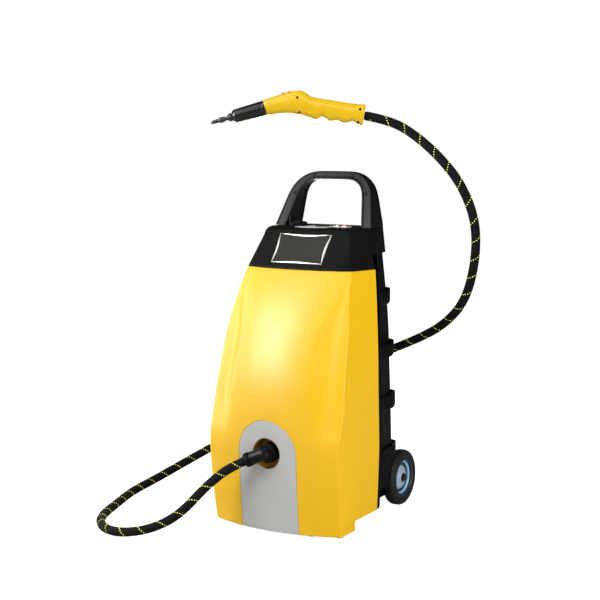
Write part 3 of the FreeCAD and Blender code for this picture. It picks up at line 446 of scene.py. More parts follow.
YELLOW = (0.70, 0.405, 0.0005)
BLACK = (0.006, 0.006, 0.006)
DUSTY = (0.05, 0.05, 0.05)       # black plastic and rubber where an edge is rubbed
DUSTY_DARK = (0.03, 0.03, 0.03)
LOOK = {
    "shell": material("shell_yellow", "yellow_shell", YELLOW, 0.43, mottle=0.02, mottle_size=160, grain=0.06,
                      grain_size=1.2, worn=0.25, worn_colour=(0.85, 0.60, 0.12), specular=0.27,
                      rough_spread=0.03),
    # painted shade: the socket well's yellow is darker and more orange than the shell's, for the recess
    # behind the panel
    "well": material("well_yellow_painted_shade", "yellow_shell", (0.58, 0.30, 0.004), 0.45, mottle=0.03, worn=0.2),
    "gun": material("gun_yellow", "yellow_gun", (0.60, 0.37, 0.0005), 0.30, mottle=0.02, mottle_size=40,
                    grain=0.03, worn=0.05, worn_colour=(0.75, 0.55, 0.08), specular=0.40, rough_spread=0.015),
    "black": material("black_moulding", "black_plastic", BLACK, 0.40, mottle=0.10, grain=0.15, grain_size=0.7,
                      worn=0.2, worn_colour=DUSTY, specular=0.02),
    # painted shade: this black is darker than the other black mouldings, for the rear column that stands back
    # in shadow
    "rear": material("rear_moulding_painted_shade", "black_plastic", (0.003, 0.003, 0.003), 0.48, mottle=0.12, grain=0.15,
                     grain_size=0.7, worn=0.1, worn_colour=DUSTY_DARK, specular=0.02),
    "elbow": material("gloss_moulding", "black_plastic", BLACK, 0.26, mottle=0.10, grain=0.2, grain_size=0.7,
                      worn=0.3, worn_colour=DUSTY, specular=0.30),
    "handle": material("handle_moulding", "black_plastic", BLACK, 0.33, mottle=0.10, grain=0.03,
                       grain_size=1.2, worn=0.1, worn_colour=DUSTY_DARK, specular=0.06, rough_spread=0.02),
    "silver": material("silver_panel", "silver_plastic", (0.41, 0.41, 0.395), 0.42, mottle=0.02,
                       mottle_size=120, grain=0.12, grain_size=0.5, worn=0.3, worn_colour=(0.8, 0.8, 0.8),
                       specular=0.2),
    "deck": material("deck_plate", "silver_plastic", (0.46, 0.46, 0.45), 0.35, mottle=0.03, grain=0.08,
                     grain_size=0.6, worn=0.2, worn_colour=(0.75, 0.75, 0.74)),
    "badge": material("badge_grey", "badge_grey", (0.025, 0.024, 0.021), 0.38, mottle=0.04, grain=0.1,
                      specular=0.05),
    "trim": material("bright_trim", "bright_trim", (0.52, 0.52, 0.50), 0.32, metal=0.4, mottle=0.03,
                     grain=0.03),
    "steel": material("zinc_steel", "steel", (0.56, 0.56, 0.57), 0.35, metal=1.0, mottle=0.08, mottle_size=12,
                      grain=0.15, worn=0.4),
    "dark_steel": material("blackened_steel", "steel", (0.016, 0.016, 0.017), 0.34, metal=0.5, mottle=0.15,
                           mottle_size=8, grain=0.1, worn=0.5, worn_colour=(0.25, 0.25, 0.25)),
    "screw": material("dark_screw", "steel", (0.045, 0.018, 0.010), 0.40, metal=0.6, mottle=0.2,
                      mottle_size=4, grain=0.2),
    "stainless": material("brushed_stainless", "stainless", (0.60, 0.60, 0.61), 0.30, metal=1.0, mottle=0.04,
                          grain=0.4, grain_size=0.6, stretch=(1, 1, 0.04)),
    "brass": material("turned_brass", "brass", (0.72, 0.50, 0.20), 0.30, metal=1.0, mottle=0.08,
                      mottle_size=10, grain=0.2, stretch=(0.1, 1, 1)),
    "copper": material("drawn_copper", "copper", (0.72, 0.36, 0.22), 0.32, metal=1.0, mottle=0.12,
                       mottle_size=15, grain=0.15),
    "tyre": material("tyre_rubber", "tyre_rubber", (0.008, 0.008, 0.009), 0.58, mottle=0.15, mottle_size=14,
                     grain=0.5, grain_size=0.9, worn=0.2, worn_colour=DUSTY, specular=0.22),
    "rim": material("rim_enamel", "rim_paint", (0.28, 0.35, 0.44), 0.30, mottle=0.05, mottle_size=18,
                    grain=0.12, worn=0.5, worn_colour=(0.62, 0.70, 0.75), coat=0.2),
    "hub": material("hub_enamel", "rim_paint", (0.27, 0.50, 0.70), 0.32, mottle=0.04, mottle_size=12,
                    grain=0.1, worn=0.4, worn_colour=(0.55, 0.78, 0.88)),
    "band": material("band_enamel", "rim_paint", (0.010, 0.026, 0.040), 0.36, mottle=0.05, mottle_size=18,
                     grain=0.12, worn=0.3, worn_colour=(0.10, 0.11, 0.12)),
    "foot": material("foot_rubber", "foot_rubber", (0.62, 0.52, 0.33), 0.7, mottle=0.08, grain=0.4),
    "felt": material("glass_felt", "insulation", (0.78, 0.77, 0.70), 0.9, mottle=0.08, mottle_size=8,
                     grain=1.0, grain_size=2.5, worn=0.0),
    "tank": material("tank_plastic", "tank_plastic", (0.72, 0.76, 0.76), 0.45, mottle=0.03, grain=0.2),
    "board": material("circuit_board", "board_green", (0.02, 0.13, 0.05), 0.35, mottle=0.2, mottle_size=6,
                      grain=0.3),
    "silicone": material("silicone_tube", "silicone", (0.60, 0.60, 0.58), 0.5, mottle=0.05, grain=0.1),
    "red": material("rocker_red", "red_plastic", (0.36, 0.008, 0.010), 0.28, mottle=0.05, mottle_size=9,
                    grain=0.08, worn=0.3, worn_colour=(0.8, 0.12, 0.10), coat=0.3),
    "orange": material("button_red", "red_plastic", (0.55, 0.07, 0.012), 0.35, mottle=0.05, mottle_size=6,
                       grain=0.1),
    "white": material("frame_white", "white_plastic", (0.44, 0.44, 0.42), 0.4, mottle=0.03, grain=0.15),
    "rubber": material("black_rubber", "rubber_black", (0.015, 0.015, 0.015), 0.6, mottle=0.12, grain=0.4),
    "glass": glass_material(),
    "hose": hose_material(),
    "fleck": material("hose_fleck", "hose_textile", (0.85, 0.86, 0.05), 0.75, mottle=0.15, mottle_size=1.5,
                      grain=0.5, grain_size=0.5, worn=0.0),
}
NODE_LOOKS = {
    "shell": ["front_shell"], "well": ["socket_well"], "gun": ["gun_shell_left", "gun_shell_right"],
    "black": ["top_housing", "pressure_switch", "filler_neck", "filler_cap", "gauge_body", "hose_clamp",
              "gun_ferrule"],
    "elbow": ["gun_barrel"], "rear": ["rear_shell"],
    "handle": ["handle_front", "handle_rear", "hose_elbow", "hose_nut"],
    "silver": ["silver_panel"], "deck": ["control_plate"],
    "badge": ["badge_plate"], "trim": ["badge_bezel"],
    "steel": ["case_screws", "hose_hook", "base_plate", "axle", "axle_brackets", "axle_nuts", "feed_pump"],
    "dark_steel": ["handle_screws", "gun_screws", "lance_tube", "nozzle_tip"],
    "stainless": ["boiler_vessel", "heating_element"],
    "brass": ["steam_socket", "drain_valve", "safety_valve", "steam_solenoid", "gun_valve"],
    "copper": ["steam_pipe"], "tyre": ["tyre_left", "tyre_right"], "rim": ["rim_left", "rim_right"],
    "foot": ["feet"], "felt": ["boiler_jacket"], "tank": ["water_tank"], "board": ["control_board"],
    "silicone": ["water_tubes"], "red": ["power_rocker", "heater_rocker", "gauge_needle", "drain_lever"],
    "orange": ["steam_button", "water_button"], "white": ["switch_frames"],
    "rubber": ["mains_gland", "cap_gasket"],
    "glass": ["gauge_lens"], "hose": ["hose"],
}


def dress_nodes():
    """Every CAD node that stays gets its own material in place of the plain one."""
    for look, names in NODE_LOOKS.items():
        for name in names:
            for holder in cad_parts[name].material_slots:
                holder.material = LOOK[look]


dress_nodes()


# ---------------------------------------------------------------- hose

HOSE_R = 11.5
HOSE_ROUTE = [
    (-0.046, -0.270, 0.186), (-0.090, -0.280, 0.165), (-0.142, -0.305, 0.117), (-0.172, -0.380, 0.055),
    (-0.213, -0.442, 0.028), (-0.286, -0.470, 0.014), (-0.362, -0.451, 0.012), (-0.429, -0.377, 0.012),
    (-0.460, -0.269, 0.018), (-0.487, -0.169, 0.025), (-0.483, -0.078, 0.037), (-0.453, 0.022, 0.068),
    (-0.408, 0.120, 0.108), (-0.330, 0.200, 0.148), (-0.240, 0.243, 0.190), (-0.150, 0.235, 0.243),
    (-0.060, 0.207, 0.300), (0.020, 0.192, 0.355), (0.095, 0.196, 0.408), (0.190, 0.208, 0.450),
    (0.281, 0.185, 0.498), (0.358, 0.149, 0.571), (0.396, 0.122, 0.680), (0.407, 0.093, 0.782),
    (0.378, 0.064, 0.875), (0.325, 0.048, 0.941), (0.260, 0.050, 0.992), (0.198, 0.034, 1.030),
    (0.142, 0.001, 1.042),
]
FLECK_PITCH = 50.0            # the tracer yarn goes once round in this length
FLECKS_PER_TURN = 13
FLECK_STRETCH = 0.85          # a fleck's length over its width
COVER_RIBS = 24
COVER_RIB = 0.18
YARN_SCALE = 10               # units of the yarn map in a metre of hose


def spline_line(route, name):
    """The points that Blender gives for a NURBS spline through the route's control points, in millimetres."""
    curve = bpy.data.curves.new(name, "CURVE")
    curve.dimensions = "3D"
    spline = curve.splines.new("NURBS")
    spline.points.add(len(route) - 1)
    for control, point in zip(spline.points, route):
        control.co = (*point, 1.0)
    spline.order_u = 3
    spline.use_endpoint_u = True
    curve.resolution_u = 24
    holder = bpy.data.objects.new(name, curve)
    mesh = bpy.data.meshes.new_from_object(holder)
    line = [vertex.co / MM for vertex in mesh.vertices]
    bpy.data.objects.remove(holder)
    bpy.data.curves.remove(curve)
    bpy.data.meshes.remove(mesh)
    return line


def cover_reach(angle):
    return HOSE_R - COVER_RIB + COVER_RIB * math.cos(angle * COVER_RIBS)


def make_hose():
    line = spline_line(HOSE_ROUTE, "hose_route")
    frames = frames_along(line)
    count = 2 * COVER_RIBS
    runs = [0.0]
    for a, b in zip(line, line[1:]):
        runs.append(runs[-1] + (b - a).length)
    tube = tube_along(line, frames, cover_reach, count)
    flecks = []
    steps = int(runs[-1] / FLECK_PITCH * FLECKS_PER_TURN)
    place = 0
    for step in range(3, steps - 2):
        along = step * FLECK_PITCH / FLECKS_PER_TURN
        while runs[place + 1] < along:
            place += 1
        share = (along - runs[place]) / (runs[place + 1] - runs[place])
        at = line[place].lerp(line[place + 1], share)
        heading, normal, binormal = frames[place]
        angle = TURN * step / FLECKS_PER_TURN
        out = normal * math.cos(angle) + binormal * math.sin(angle)
        side = heading.cross(out)
        low = at + out * (HOSE_R - 1.0)
        rings = []
        for height, wide in ((0.0, 1.8), (1.1, 1.65), (1.5, 0.9)):
            rings.append([low + out * height + (heading * FLECK_STRETCH * math.cos(TURN * k / 8)
                                                + side * math.sin(TURN * k / 8)) * wide for k in range(8)])
        flecks.append(loft(rings))
    made = new_object("hose_cover", to_mesh("hose_cover", tube))
    shade(made, 80)
    yarn = made.data.uv_layers.new(name="yarn")
    for face in made.data.polygons:
        rows = [corner // count for corner in face.vertices]
        around = [corner % count for corner in face.vertices]
        wraps = max(around) - min(around) > count / 2
        for loop, row, turn in zip(face.loop_indices, rows, around):
            if wraps and turn == 0:
                turn = count
            yarn.data[loop].uv = (runs[row] * MM * YARN_SCALE, turn / count)
    made.data.materials.append(LOOK["hose"])
    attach(made, "machine")
    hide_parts("hose")
    dots = piece("hose_flecks", joined(flecks), "fleck", "machine", sharp=80)
    return made, dots, [point * MM for point in line]


hose, hose_flecks, hose_line = make_hose()


# ---------------------------------------------------------------- casing

SHELL_TOP = 655.0
SHELL_REAR = -5.0
PANEL_HALF = 83.5
PANEL_GAP = 0.9
SOCKET_Z = 205.0
SOCKET_R = 39.0
DECK = 757.0
BACK_Y = 122.0                # the rear face of the housing and the handle
SWITCHES = {"power": 54.0, "heater": 76.0}
SWITCH_Y = 20.0
CAP_AT = (-62.0, 10.0)
GAUGE_AT = (8.0, 16.0)
GLAND_AT = (-70, 120, 240)
DRAIN_AT = (60, 205, 55)
FRONT_BOW = 2.2               # the power of the curve from the middle of the front to its crease
# z, crease half width, crease y, centre y, rear half width, scoop depth, ridge place
SHELL_STATIONS = [
    (4, 187, -195, -235, 184, 0, 0.70),
    (100, 189, -210.5, -243, 187.5, 0, 0.70),
    (190, 190, -219, -248, 190, 0, 0.68),
    (240, 190, -219, -250, 189.5, 1, 0.66),
    (280, 192, -206, -252, 188.5, 3, 0.64),
    (320, 192, -196, -251, 187.5, 6, 0.62),
    (380, 188.5, -184, -245, 186.5, 9, 0.61),
    (440, 184, -169, -232, 185.5, 10, 0.60),
    (500, 179.5, -151, -212, 183.5, 9, 0.63),
    (550, 172, -136, -190, 181.5, 6, 0.74),
    (600, 163, -119, -160, 179, 2, 0.90),
    (655, 155, -92, -120, 176, 0, 0.95),
]
# z, front half width, front corner y, centre y, side half width, rear half width
HOUSING_STATIONS = [
    (655.3, 155, -92, -120, 176.5, 145),
    (700, 141, -70, -87, 165, 139.5),
    (738, 129, -50, -59.5, 157, 135),
    (757, 123, -40.5, -46, 152, 133),
]


def at_height(stations, z):
    """The station's values at any height, on a smooth curve through the table."""
    row = max(0, min(len(stations) - 2, sum(station[0] <= z for station in stations) - 1))
    low, high = stations[row], stations[row + 1]
    gap = high[0] - low[0]
    t = (z - low[0]) / gap

    def slope(index, column):
        a, b = stations[max(index - 1, 0)], stations[min(index + 1, len(stations) - 1)]
        return (b[column] - a[column]) / (b[0] - a[0]) * gap

    values = []
    for column in range(1, len(low)):
        values.append((2 * t ** 3 - 3 * t ** 2 + 1) * low[column] + (t ** 3 - 2 * t ** 2 + t) * slope(row,
                                                                                                      column)
                      + (3 * t ** 2 - 2 * t ** 3) * high[column] + (t ** 3 - t ** 2) * slope(row + 1, column))
    return values


def front_y(z, place):
    """Where the shell's front stands at a place from the middle, 0, to the crease, 1."""
    _, crease_y, centre_y, _, scoop, ridge = at_height(SHELL_STATIONS, z)
    y = centre_y + (crease_y - centre_y) * place ** FRONT_BOW
    if place > ridge:
        y += scoop * max(0.0, math.sin(math.pi * ((place - ridge) / (1 - ridge)) ** 0.7)) ** 1.9
    return y


def shell_section(z, inset):
    """One level line round the yellow shell, from its left rear edge to its right rear edge."""
    crease_x, _, _, rear_x, _, _ = at_height(SHELL_STATIONS, z)
    right = [Vector((index / 40 * (crease_x - inset), front_y(z, index / 40) + inset,
                     z)) for index in range(41)]
    side_end = Vector((rear_x - inset, SHELL_REAR, z))
    corner = right[-1]
    bend = rounded([right[-3], corner, corner.lerp(side_end, 0.12)], 6.0, steps=6)
    half = right[:-2] + bend[1:-1] + [corner.lerp(side_end, share / 16) for share in range(2, 17)]
    return [Vector((-p.x, p.y, p.z)) for p in reversed(half[1:])] + half


def arch_outline(half, low_z, y):
    arch = [Vector((half * math.cos(math.pi * k / 72), y, SOCKET_Z + half * math.sin(math.pi * k / 72)))
            for k in range(73)]
    return [Vector((half, y, low_z))] + arch + [Vector((-half, y, low_z))]


def make_front_shell():
    wall = 4.0
    heights = [(4.0, 1.2), (4.4, 0.4), (5.4, 0.0)]
    heights += [(10 + 6.0 * k, 0.0) for k in range(107)]
    heights += [(652.6, 0.0), (653.8, 0.25), (654.6, 0.8), (SHELL_TOP, 1.8)]
    rings = [shell_section(z, inset) + list(reversed(shell_section(z, wall))) for z, inset in heights]
    points, faces = loft(rings, caps=False)
    count = len(rings[0])
    half = count // 2
    for first in (0, len(points) - count):
        faces += [(first + k, first + k + 1, first + count - 2 - k, first + count - 1 - k)
                  for k in range(half - 1)]
    opening = slab(arch_outline(PANEL_HALF + PANEL_GAP, -20, -300), (0, 150, 0))
    step = block(-260, 260, -125, 20, -20, 30)
    piece("front_shell_skin", (points, faces), "shell", "machine", ["front_shell"], cuts=[opening, step])


def on_front(x, z, deep):
    crease_x = at_height(SHELL_STATIONS, z)[0]
    return Vector((x, front_y(z, abs(x) / crease_x) + deep, z))


def make_silver_panel():
    """The arched panel, in rings from its outline in to the hose socket."""
    corners = [math.atan2(4 - SOCKET_Z, side * PANEL_HALF) for side in (1, -1)]
    angles = sorted([TURN * k / 144 - math.pi for k in range(144)] + corners)

    def reach(angle, margin):
        half = PANEL_HALF - margin
        if math.sin(angle) >= 0:
            return half
        side = half / max(abs(math.cos(angle)), 1e-6)
        return min(side, (4 + margin - SOCKET_Z) / math.sin(angle))

    edge = [(0, 4.0), (0, 1.3), (0.15, 0.6), (0.5, 0.18), (1.1, 0.0)]
    rings = []

    def ring_at(distance_of, deep):
        ring = []
        for angle in angles:
            distance = distance_of(angle)
            ring.append(on_front(distance * math.cos(angle), SOCKET_Z + distance * math.sin(angle), deep))
        rings.append(ring)

    for margin, deep in edge:
        ring_at(lambda angle: reach(angle, margin), deep)
    outer_margin = edge[-1][0]
    inner = SOCKET_R + outer_margin
    for step in range(1, 26):
        share = step / 26
        ring_at(lambda angle: reach(angle, outer_margin) * (1 - share) + inner * share, 0.0)
    for margin, deep in reversed(edge):
        ring_at(lambda angle: SOCKET_R + margin, deep)
    piece("silver_panel_skin", loft(rings, around=True), "silver", "machine", ["silver_panel"], sharp=50)


# ---------------------------------------------------------------- top housing

def housing_front_y(z, place):
    _, corner_y, centre_y, _, _ = at_height(HOUSING_STATIONS, z)
    return centre_y + (corner_y - centre_y) * place ** FRONT_BOW


def eased(low, high, value):
    t = max(0.0, min(1.0, (value - low) / (high - low)))
    return t * t * (3 - 2 * t)


def drop_back(z, radius):
    """How far a rounded top edge has come in at a height."""
    up = z - (DECK - radius)
    return 0.0 if up <= 0 else radius - math.sqrt(max(radius ** 2 - up ** 2, 0.0))


def housing_section(z, inset):
    """One level line round the housing. Its top edges are rounded more in front than beside the handle."""
    corner_x, _, _, side_x, rear_x = at_height(HOUSING_STATIONS, z)
    half = [Vector((index / 24 * corner_x, housing_front_y(z, index / 24), z)) for index in range(25)]
    side = Vector((side_x, SHELL_REAR, z))
    rear = Vector((rear_x, BACK_Y, z))
    line = rounded([half[-4], half[-1], side, rear, Vector((0, BACK_Y, z))], [0, 7, 8, 9, 0], steps=5)
    half = half[:-4] + line[:-1] + [Vector((rear_x * share, BACK_Y, z)) for share in (0.8, 0.6, 0.4, 0.2)]
    result = []
    for point in half:
        ease = eased(0, 30, point.y)
        in_x = drop_back(z, 20 - 19 * ease) + inset
        in_y = drop_back(z, 7 - 3 * ease) + inset
        x = max(0.0, point.x - in_x * eased(0, 60, point.x))
        y = point.y + in_y * (1 if point.y < 40 else -1)
        result.append(Vector((x, y, z)))
    middle = [Vector((0, BACK_Y - inset - drop_back(z, 4), z))]
    return result + middle + [Vector((-p.x, p.y, p.z)) for p in reversed(result[1:])]


def make_housing():
    wall = 3.0
    heights = [655.3, 657] + [662 + 6 * k for k in range(13)]
    heights += [738, 740.5, 743, 745.5, 748, 750, 752, 753.5, 754.8, 755.8, 756.5, 756.9, DECK]
    outer = [housing_section(z, 0.0 if z > 656 else 0.8) for z in heights]
    inner = [housing_section(z, wall) for z in (752, 740, 720, 700, 680, 655.3)]
    for point in inner[0]:
        point.z = DECK - wall
    below = [(SHELL_REAR, 600), (300, 600), (300, 705), (124, 705), (BACK_Y, 697), (117, 691.6), (110, 690),
             (SHELL_REAR, 690)]
    under = slab([(-200, y, z) for y, z in below], (400, 0, 0))
    low_ring = [Vector((p.x, p.y, 640)) for p in inner[-1]]
    inside = loft([low_ring] + list(reversed(inner)))
    holes = [rod(20.0, (*CAP_AT, 700), UP, 100), rod(19.0, (*GAUGE_AT, 700), UP, 100)]
    holes += [block(x - 8, x + 8, 10, 30, 700, 800) for x in SWITCHES.values()]
    piece("top_housing_skin", loft(outer), "black", "machine", ["top_housing"], cuts=[under, inside] + holes)


BEZEL_LOW = Vector((0, -110.5, 669.5))
BEZEL_SLOPE = math.radians(36.5)
BEZEL_HALF = (74.0, 76.5)
BEZEL_HEIGHT = 89.0
PLATE_EDGE = (1.3, 5.9)       # margin and bow of the badge plate inside its frame


def bezel_point(across, along, out):
    """A point on the housing's sloping front: across and along are -1..1 and 0..1 of the frame's size."""
    half = BEZEL_HALF[0] + (BEZEL_HALF[1] - BEZEL_HALF[0]) * along
    x = across * half
    z = BEZEL_LOW.z + along * BEZEL_HEIGHT * math.cos(BEZEL_SLOPE)
    corner_x = at_height(HOUSING_STATIONS, z)[0]
    y = housing_front_y(z, abs(x) / corner_x)
    return Vector((x, y - out * math.cos(BEZEL_SLOPE), z + out * math.sin(BEZEL_SLOPE)))


def dip_at(t, margin, bow):
    """How far a side of the badge has come in, from its corner at 0 to its corner at 1."""
    return margin + bow * max(0.0, math.sin(math.pi * t)) ** 1.3


def frame_line(margin, bow, out):
    """A four-sided line whose sides curve inward by the bow, margins and bows in millimetres."""
    steps = 24
    line = []
    wide, tall = BEZEL_HALF[0], BEZEL_HEIGHT
    for side in range(4):
        for step in range(steps):
            t = step / steps
            dip = dip_at(t, margin, bow)
            run = (margin + t * (2 * wide - 2 * margin)) / wide - 1
            rise = (margin + t * (tall - 2 * margin)) / tall
            places = ((run, dip / tall), (1 - dip / wide, rise), (-run, 1 - dip / tall),
                      (dip / wide - 1, 1 - rise))
            line.append(bezel_point(*places[side], out))
    return line


def make_badge():
    sizes = [(0.5, 1.0, -1.0), (0.0, 1.0, 0.3), (0.2, 1.0, 1.0), (0.6, 1.6, 1.8), (1.0, 3.8, 2.0),
             (1.3, 5.2, 1.5), (1.5, 5.8, 0.5), (1.6, 6.0, -1.0)]
    rings = [frame_line(*size) for size in sizes]
    piece("badge_frame", loft(rings, around=True), "trim", "machine", ["badge_bezel"], sharp=60)
    columns, rows = 32, 22
    top, low = [], []
    for row in range(rows + 1):
        v = row / rows
        for column in range(columns + 1):
            u = column / columns
            side = 1 - dip_at(v, *PLATE_EDGE) / BEZEL_HALF[0]
            end = dip_at(u, *PLATE_EDGE) / BEZEL_HEIGHT
            across = (2 * u - 1) * side
            along = end + v * (1 - 2 * end)
            top.append(bezel_point(across, along, 0.9))
            low.append(bezel_point(across, along, -1.0))
    wide = columns + 1
    faces = []
    for row in range(rows):
        for column in range(columns):
            a = row * wide + column
            faces.append((a, a + 1, a + wide + 1, a + wide))
            b = a + len(top)
            faces.append((b, b + wide, b + wide + 1, b + 1))
    rim = list(range(wide)) + [row * wide + columns for row in range(1, rows + 1)]
    rim += [rows * wide + column for column in range(columns - 1, -1, -1)]
    rim += [row * wide for row in range(rows - 1, 0, -1)]
    for a, b in zip(rim, rim[1:] + rim[:1]):
        faces.append((b, a, a + len(top), b + len(top)))
    piece("badge_plate_face", (top + low, faces), "badge", "machine", ["badge_plate"], sharp=60)


# ---------------------------------------------------------------- handle

LEAN_ANGLE = math.radians(23.3)
LEAN = math.tan(LEAN_ANGLE)
HANDLE_Y = 29                 # the front of the handle's feet on the deck
HANDLE_OUTER = [(145, 757), (123, 850), (48, 900)]
HANDLE_INNER = [(114, 757), (96, 845), (50, 879)]
HANDLE_SEAM = (99.8, 100.3)   # where the front moulding ends and the rear one begins
HANDLE_DRAFT = 0.125    # how much the outer side narrows for each millimetre towards the rear


def arc_through(a, b, c, steps):
    """Points from a to c on the circle through three points, all in the plane y = 0."""
    (ax, az), (bx, bz), (cx, cz) = a, b, c
    d = 2 * (ax * (bz - cz) + bx * (cz - az) + cx * (az - bz))
    aa, bb, cc = ax ** 2 + az ** 2, bx ** 2 + bz ** 2, cx ** 2 + cz ** 2
    ux = (aa * (bz - cz) + bb * (cz - az) + cc * (az - bz)) / d
    uz = (aa * (cx - bx) + bb * (ax - cx) + cc * (bx - ax)) / d
    radius = math.hypot(ax - ux, az - uz)
    start, end = math.atan2(az - uz, ax - ux), math.atan2(cz - uz, cx - ux)
    return [(ux + radius * math.cos(start + (end - start) * k / steps),
             uz + radius * math.sin(start + (end - start) * k / steps)) for k in range(steps + 1)]


def handle_rail(points):
    (x0, z0), (x1, z1), (x2, z2) = points
    bulge = ((x1 + x2) / 2 + 0.2 * (x1 - x2), (z1 + z2) / 2 + 0.12 * (z2 - z1))
    leg = [(x0 + (x1 - x0) * k / 14, z0 + (z1 - z0) * k / 14) for k in range(14)]
    top = [(x2 * (1 - k / 7), z2) for k in range(1, 8)]
    rail = leg + arc_through((x1, z1), bulge, (x2, z2), 16) + top
    rail += [(-x, z) for x, z in reversed(rail[:-1])]
    for _ in range(14):
        rail = rail[:2] + [((a[0] + 2 * b[0] + c[0]) / 4, (a[1] + 2 * b[1] + c[1]) / 4)
                           for a, b, c in zip(rail[1:], rail[2:], rail[3:])] + rail[-2:]
    return rail


def make_handle():
    outer, inner = handle_rail(HANDLE_OUTER), handle_rail(HANDLE_INNER)
    front_rings, rear_rings = [], []
    for (xo, zo), (xi, zi) in zip(outer, inner):
        wide = math.hypot(xo - xi, zo - zi)
        draft = HANDLE_DRAFT * (0.24 + 0.76 * abs(xo - xi) / wide)

        def at(distance, y, leaning):
            face_y = HANDLE_Y + (zo + (zi - zo) * distance / wide - DECK) * LEAN
            behind = y if leaning else y - face_y
            share = (distance + draft * max(behind, 0.0) * (1 - distance / wide)) / wide
            return Vector((xo + (xi - xo) * share, face_y + behind, zo + (zi - zo) * share))

        face = [(0.0, 7.0, 0), (0.0, 0.0, 4.5), (4.6, 0.0, 1.0), (5.6, 2.2, 0.8), (wide - 5.6, 2.2, 0.8),
                (wide - 4.6, 0.0, 1.0), (wide, 0.0, 4.0), (wide, 7.0, 0)]
        line = rounded([at(d, y, True) for d, y, _ in face], [reach for _, _, reach in face], steps=4)
        front_end, rear_start = HANDLE_SEAM
        front_rings.append([at(0, front_end, False)] + line + [at(wide, front_end, False)])
        back = [(0.0, rear_start), (0.0, BACK_Y), (wide, BACK_Y), (wide, rear_start)]
        rear_rings.append(rounded([at(d, y, False) for d, y in back], [0.7, 7.0, 7.0, 0.7], closed=True,
                                  steps=4))
    piece("handle_front_moulding", loft(front_rings), "handle", "machine", ["handle_front"], sharp=45)
    piece("handle_rear_moulding", loft(rear_rings), "black", "machine", ["handle_rear"], sharp=45)


make_front_shell()
make_silver_panel()
make_housing()
make_badge()
make_handle()


# ---------------------------------------------------------------- rear shell

REAR_STATIONS = [(30, 184, 172), (190, 189, 170), (320, 186.5, 166), (525, 182, 157), (690, 174, 139)]
RIBS = [(594, 178, 163, 138), (456, 182, 175, 150), (319, 185.5, 180, 156), (183, 188, 182, 160)]
RIB_HEIGHT = 39.0
COLUMN_BACK = 120
WHEEL_Y = 177.0
WHEEL_Z = 75.0


def rear_section(z, inset):
    """One level line round the rear column, from one front edge round the back to the other."""
    flange_x, corner_x = at_height(REAR_STATIONS, z)
    half = [(flange_x - inset, SHELL_REAR + 0.3), (flange_x - inset, 10 - inset),
            (flange_x - 5 - inset, 11.5 - inset), (corner_x - inset, 105 - inset / 2),
            (corner_x - 15 - inset / 2, COLUMN_BACK - inset), (0, COLUMN_BACK - inset)]
    return across_middle(rounded([(x, y, z) for x, y in half], [0, 1.5, 3, 8, 5, 0], steps=4))


def rib_belt(top_z, flange_x, corner_x, back_x):
    """A band round the column with an upturned lip along its outer edge, swept along its own path."""
    half = [(flange_x, 12.5), (corner_x, 105), (back_x, 149), (back_x - 12, 154.5), (0, 154.5)]
    path = across_middle(rounded([(x, y, 0) for x, y in half], [0, 30, 16, 12, 0], steps=6))
    low, high = top_z - RIB_HEIGHT, top_z
    section = rounded([(-26, low + 6, 0), (-2.5, low, 0), (0, low + 7, 0), (0, high - 1, 0), (-3.4, high, 0),
                       (-4.4, high - 7, 0), (-26, high - 9, 0)], [0, 2.5, 6, 1.2, 1.2, 1.5, 0], closed=True,
                       steps=3)
    rings = []
    for at, heading in zip(path, headings_along(path)):
        out = Vector((heading.y, -heading.x, 0))
        rings.append([at + out * p.x + Vector((0, 0, p.y)) for p in section])
    return loft(rings)


def wheel_spaces(grow):
    """The room that both wheels turn in, right and then left."""
    x = 135.3 - grow
    pair = [rod(84 + grow, (x, WHEEL_Y, WHEEL_Z), RIGHT, 110, 96),
            block(x, x + 110, 23 - grow, 400, -50, WHEEL_Z)]
    return pair + [mirrored(shape) for shape in pair]


def make_rear_shell():
    heights = [30, 31.2, 34] + [40 + 10 * k for k in range(64)] + [676, 684, 690]
    column = loft([rear_section(z, 1.0 if z == 30 else 0.0) for z in heights])
    inside = loft([rear_section(z, 3.0) for z in [20] + heights[1:-1] + [700]])
    # This block opens the column at its front. It thins the side wall next to the yellow shell above 320 mm,
    # and above 451 mm it is wider than the column and takes that wall away.
    front = block(-184, 184, -60, SHELL_REAR + 12, 20, 720)
    low_box = [(-135, 100, 30), (-135, 205, 30), (135, 205, 30), (135, 100, 30)]
    axle_box = slab(rounded(low_box, [0, 12, 12, 0], True, 5), (0, 0, 120))
    low_inside = block(-132, 132, 90, 202, 20, 147)
    adds = [rib_belt(*sizes) for sizes in RIBS] + [axle_box]
    cuts = wheel_spaces(0)
    shell = new_object("hollow", to_mesh("hollow", inside))
    for extra in (front, low_inside):
        combined(shell, extra, "UNION")
    for cut in wheel_spaces(3):
        combined(shell, cut, "DIFFERENCE")
    hollow_mesh = shell.data
    bpy.data.objects.remove(shell)
    space = ([vertex.co / MM for vertex in hollow_mesh.vertices],
             [tuple(face.vertices) for face in hollow_mesh.polygons])
    holes = [rod(8, (-200, WHEEL_Y, WHEEL_Z), RIGHT, 400, 32),
             rod(9, (GLAND_AT[0], 80, GLAND_AT[2]), BACKWARD, 60, 32),
             rod(10, (DRAIN_AT[0], 170, DRAIN_AT[2]), BACKWARD, 60, 32)]
    piece("rear_shell_column", column, "rear", "machine", ["rear_shell"], sharp=40, adds=adds,
          cuts=cuts + [space] + holes)


# ---------------------------------------------------------------- wheels

WHEEL_X = (140.0, 174.0)      # the tyre's inner and outer side
WHEEL_BOLTS = 5


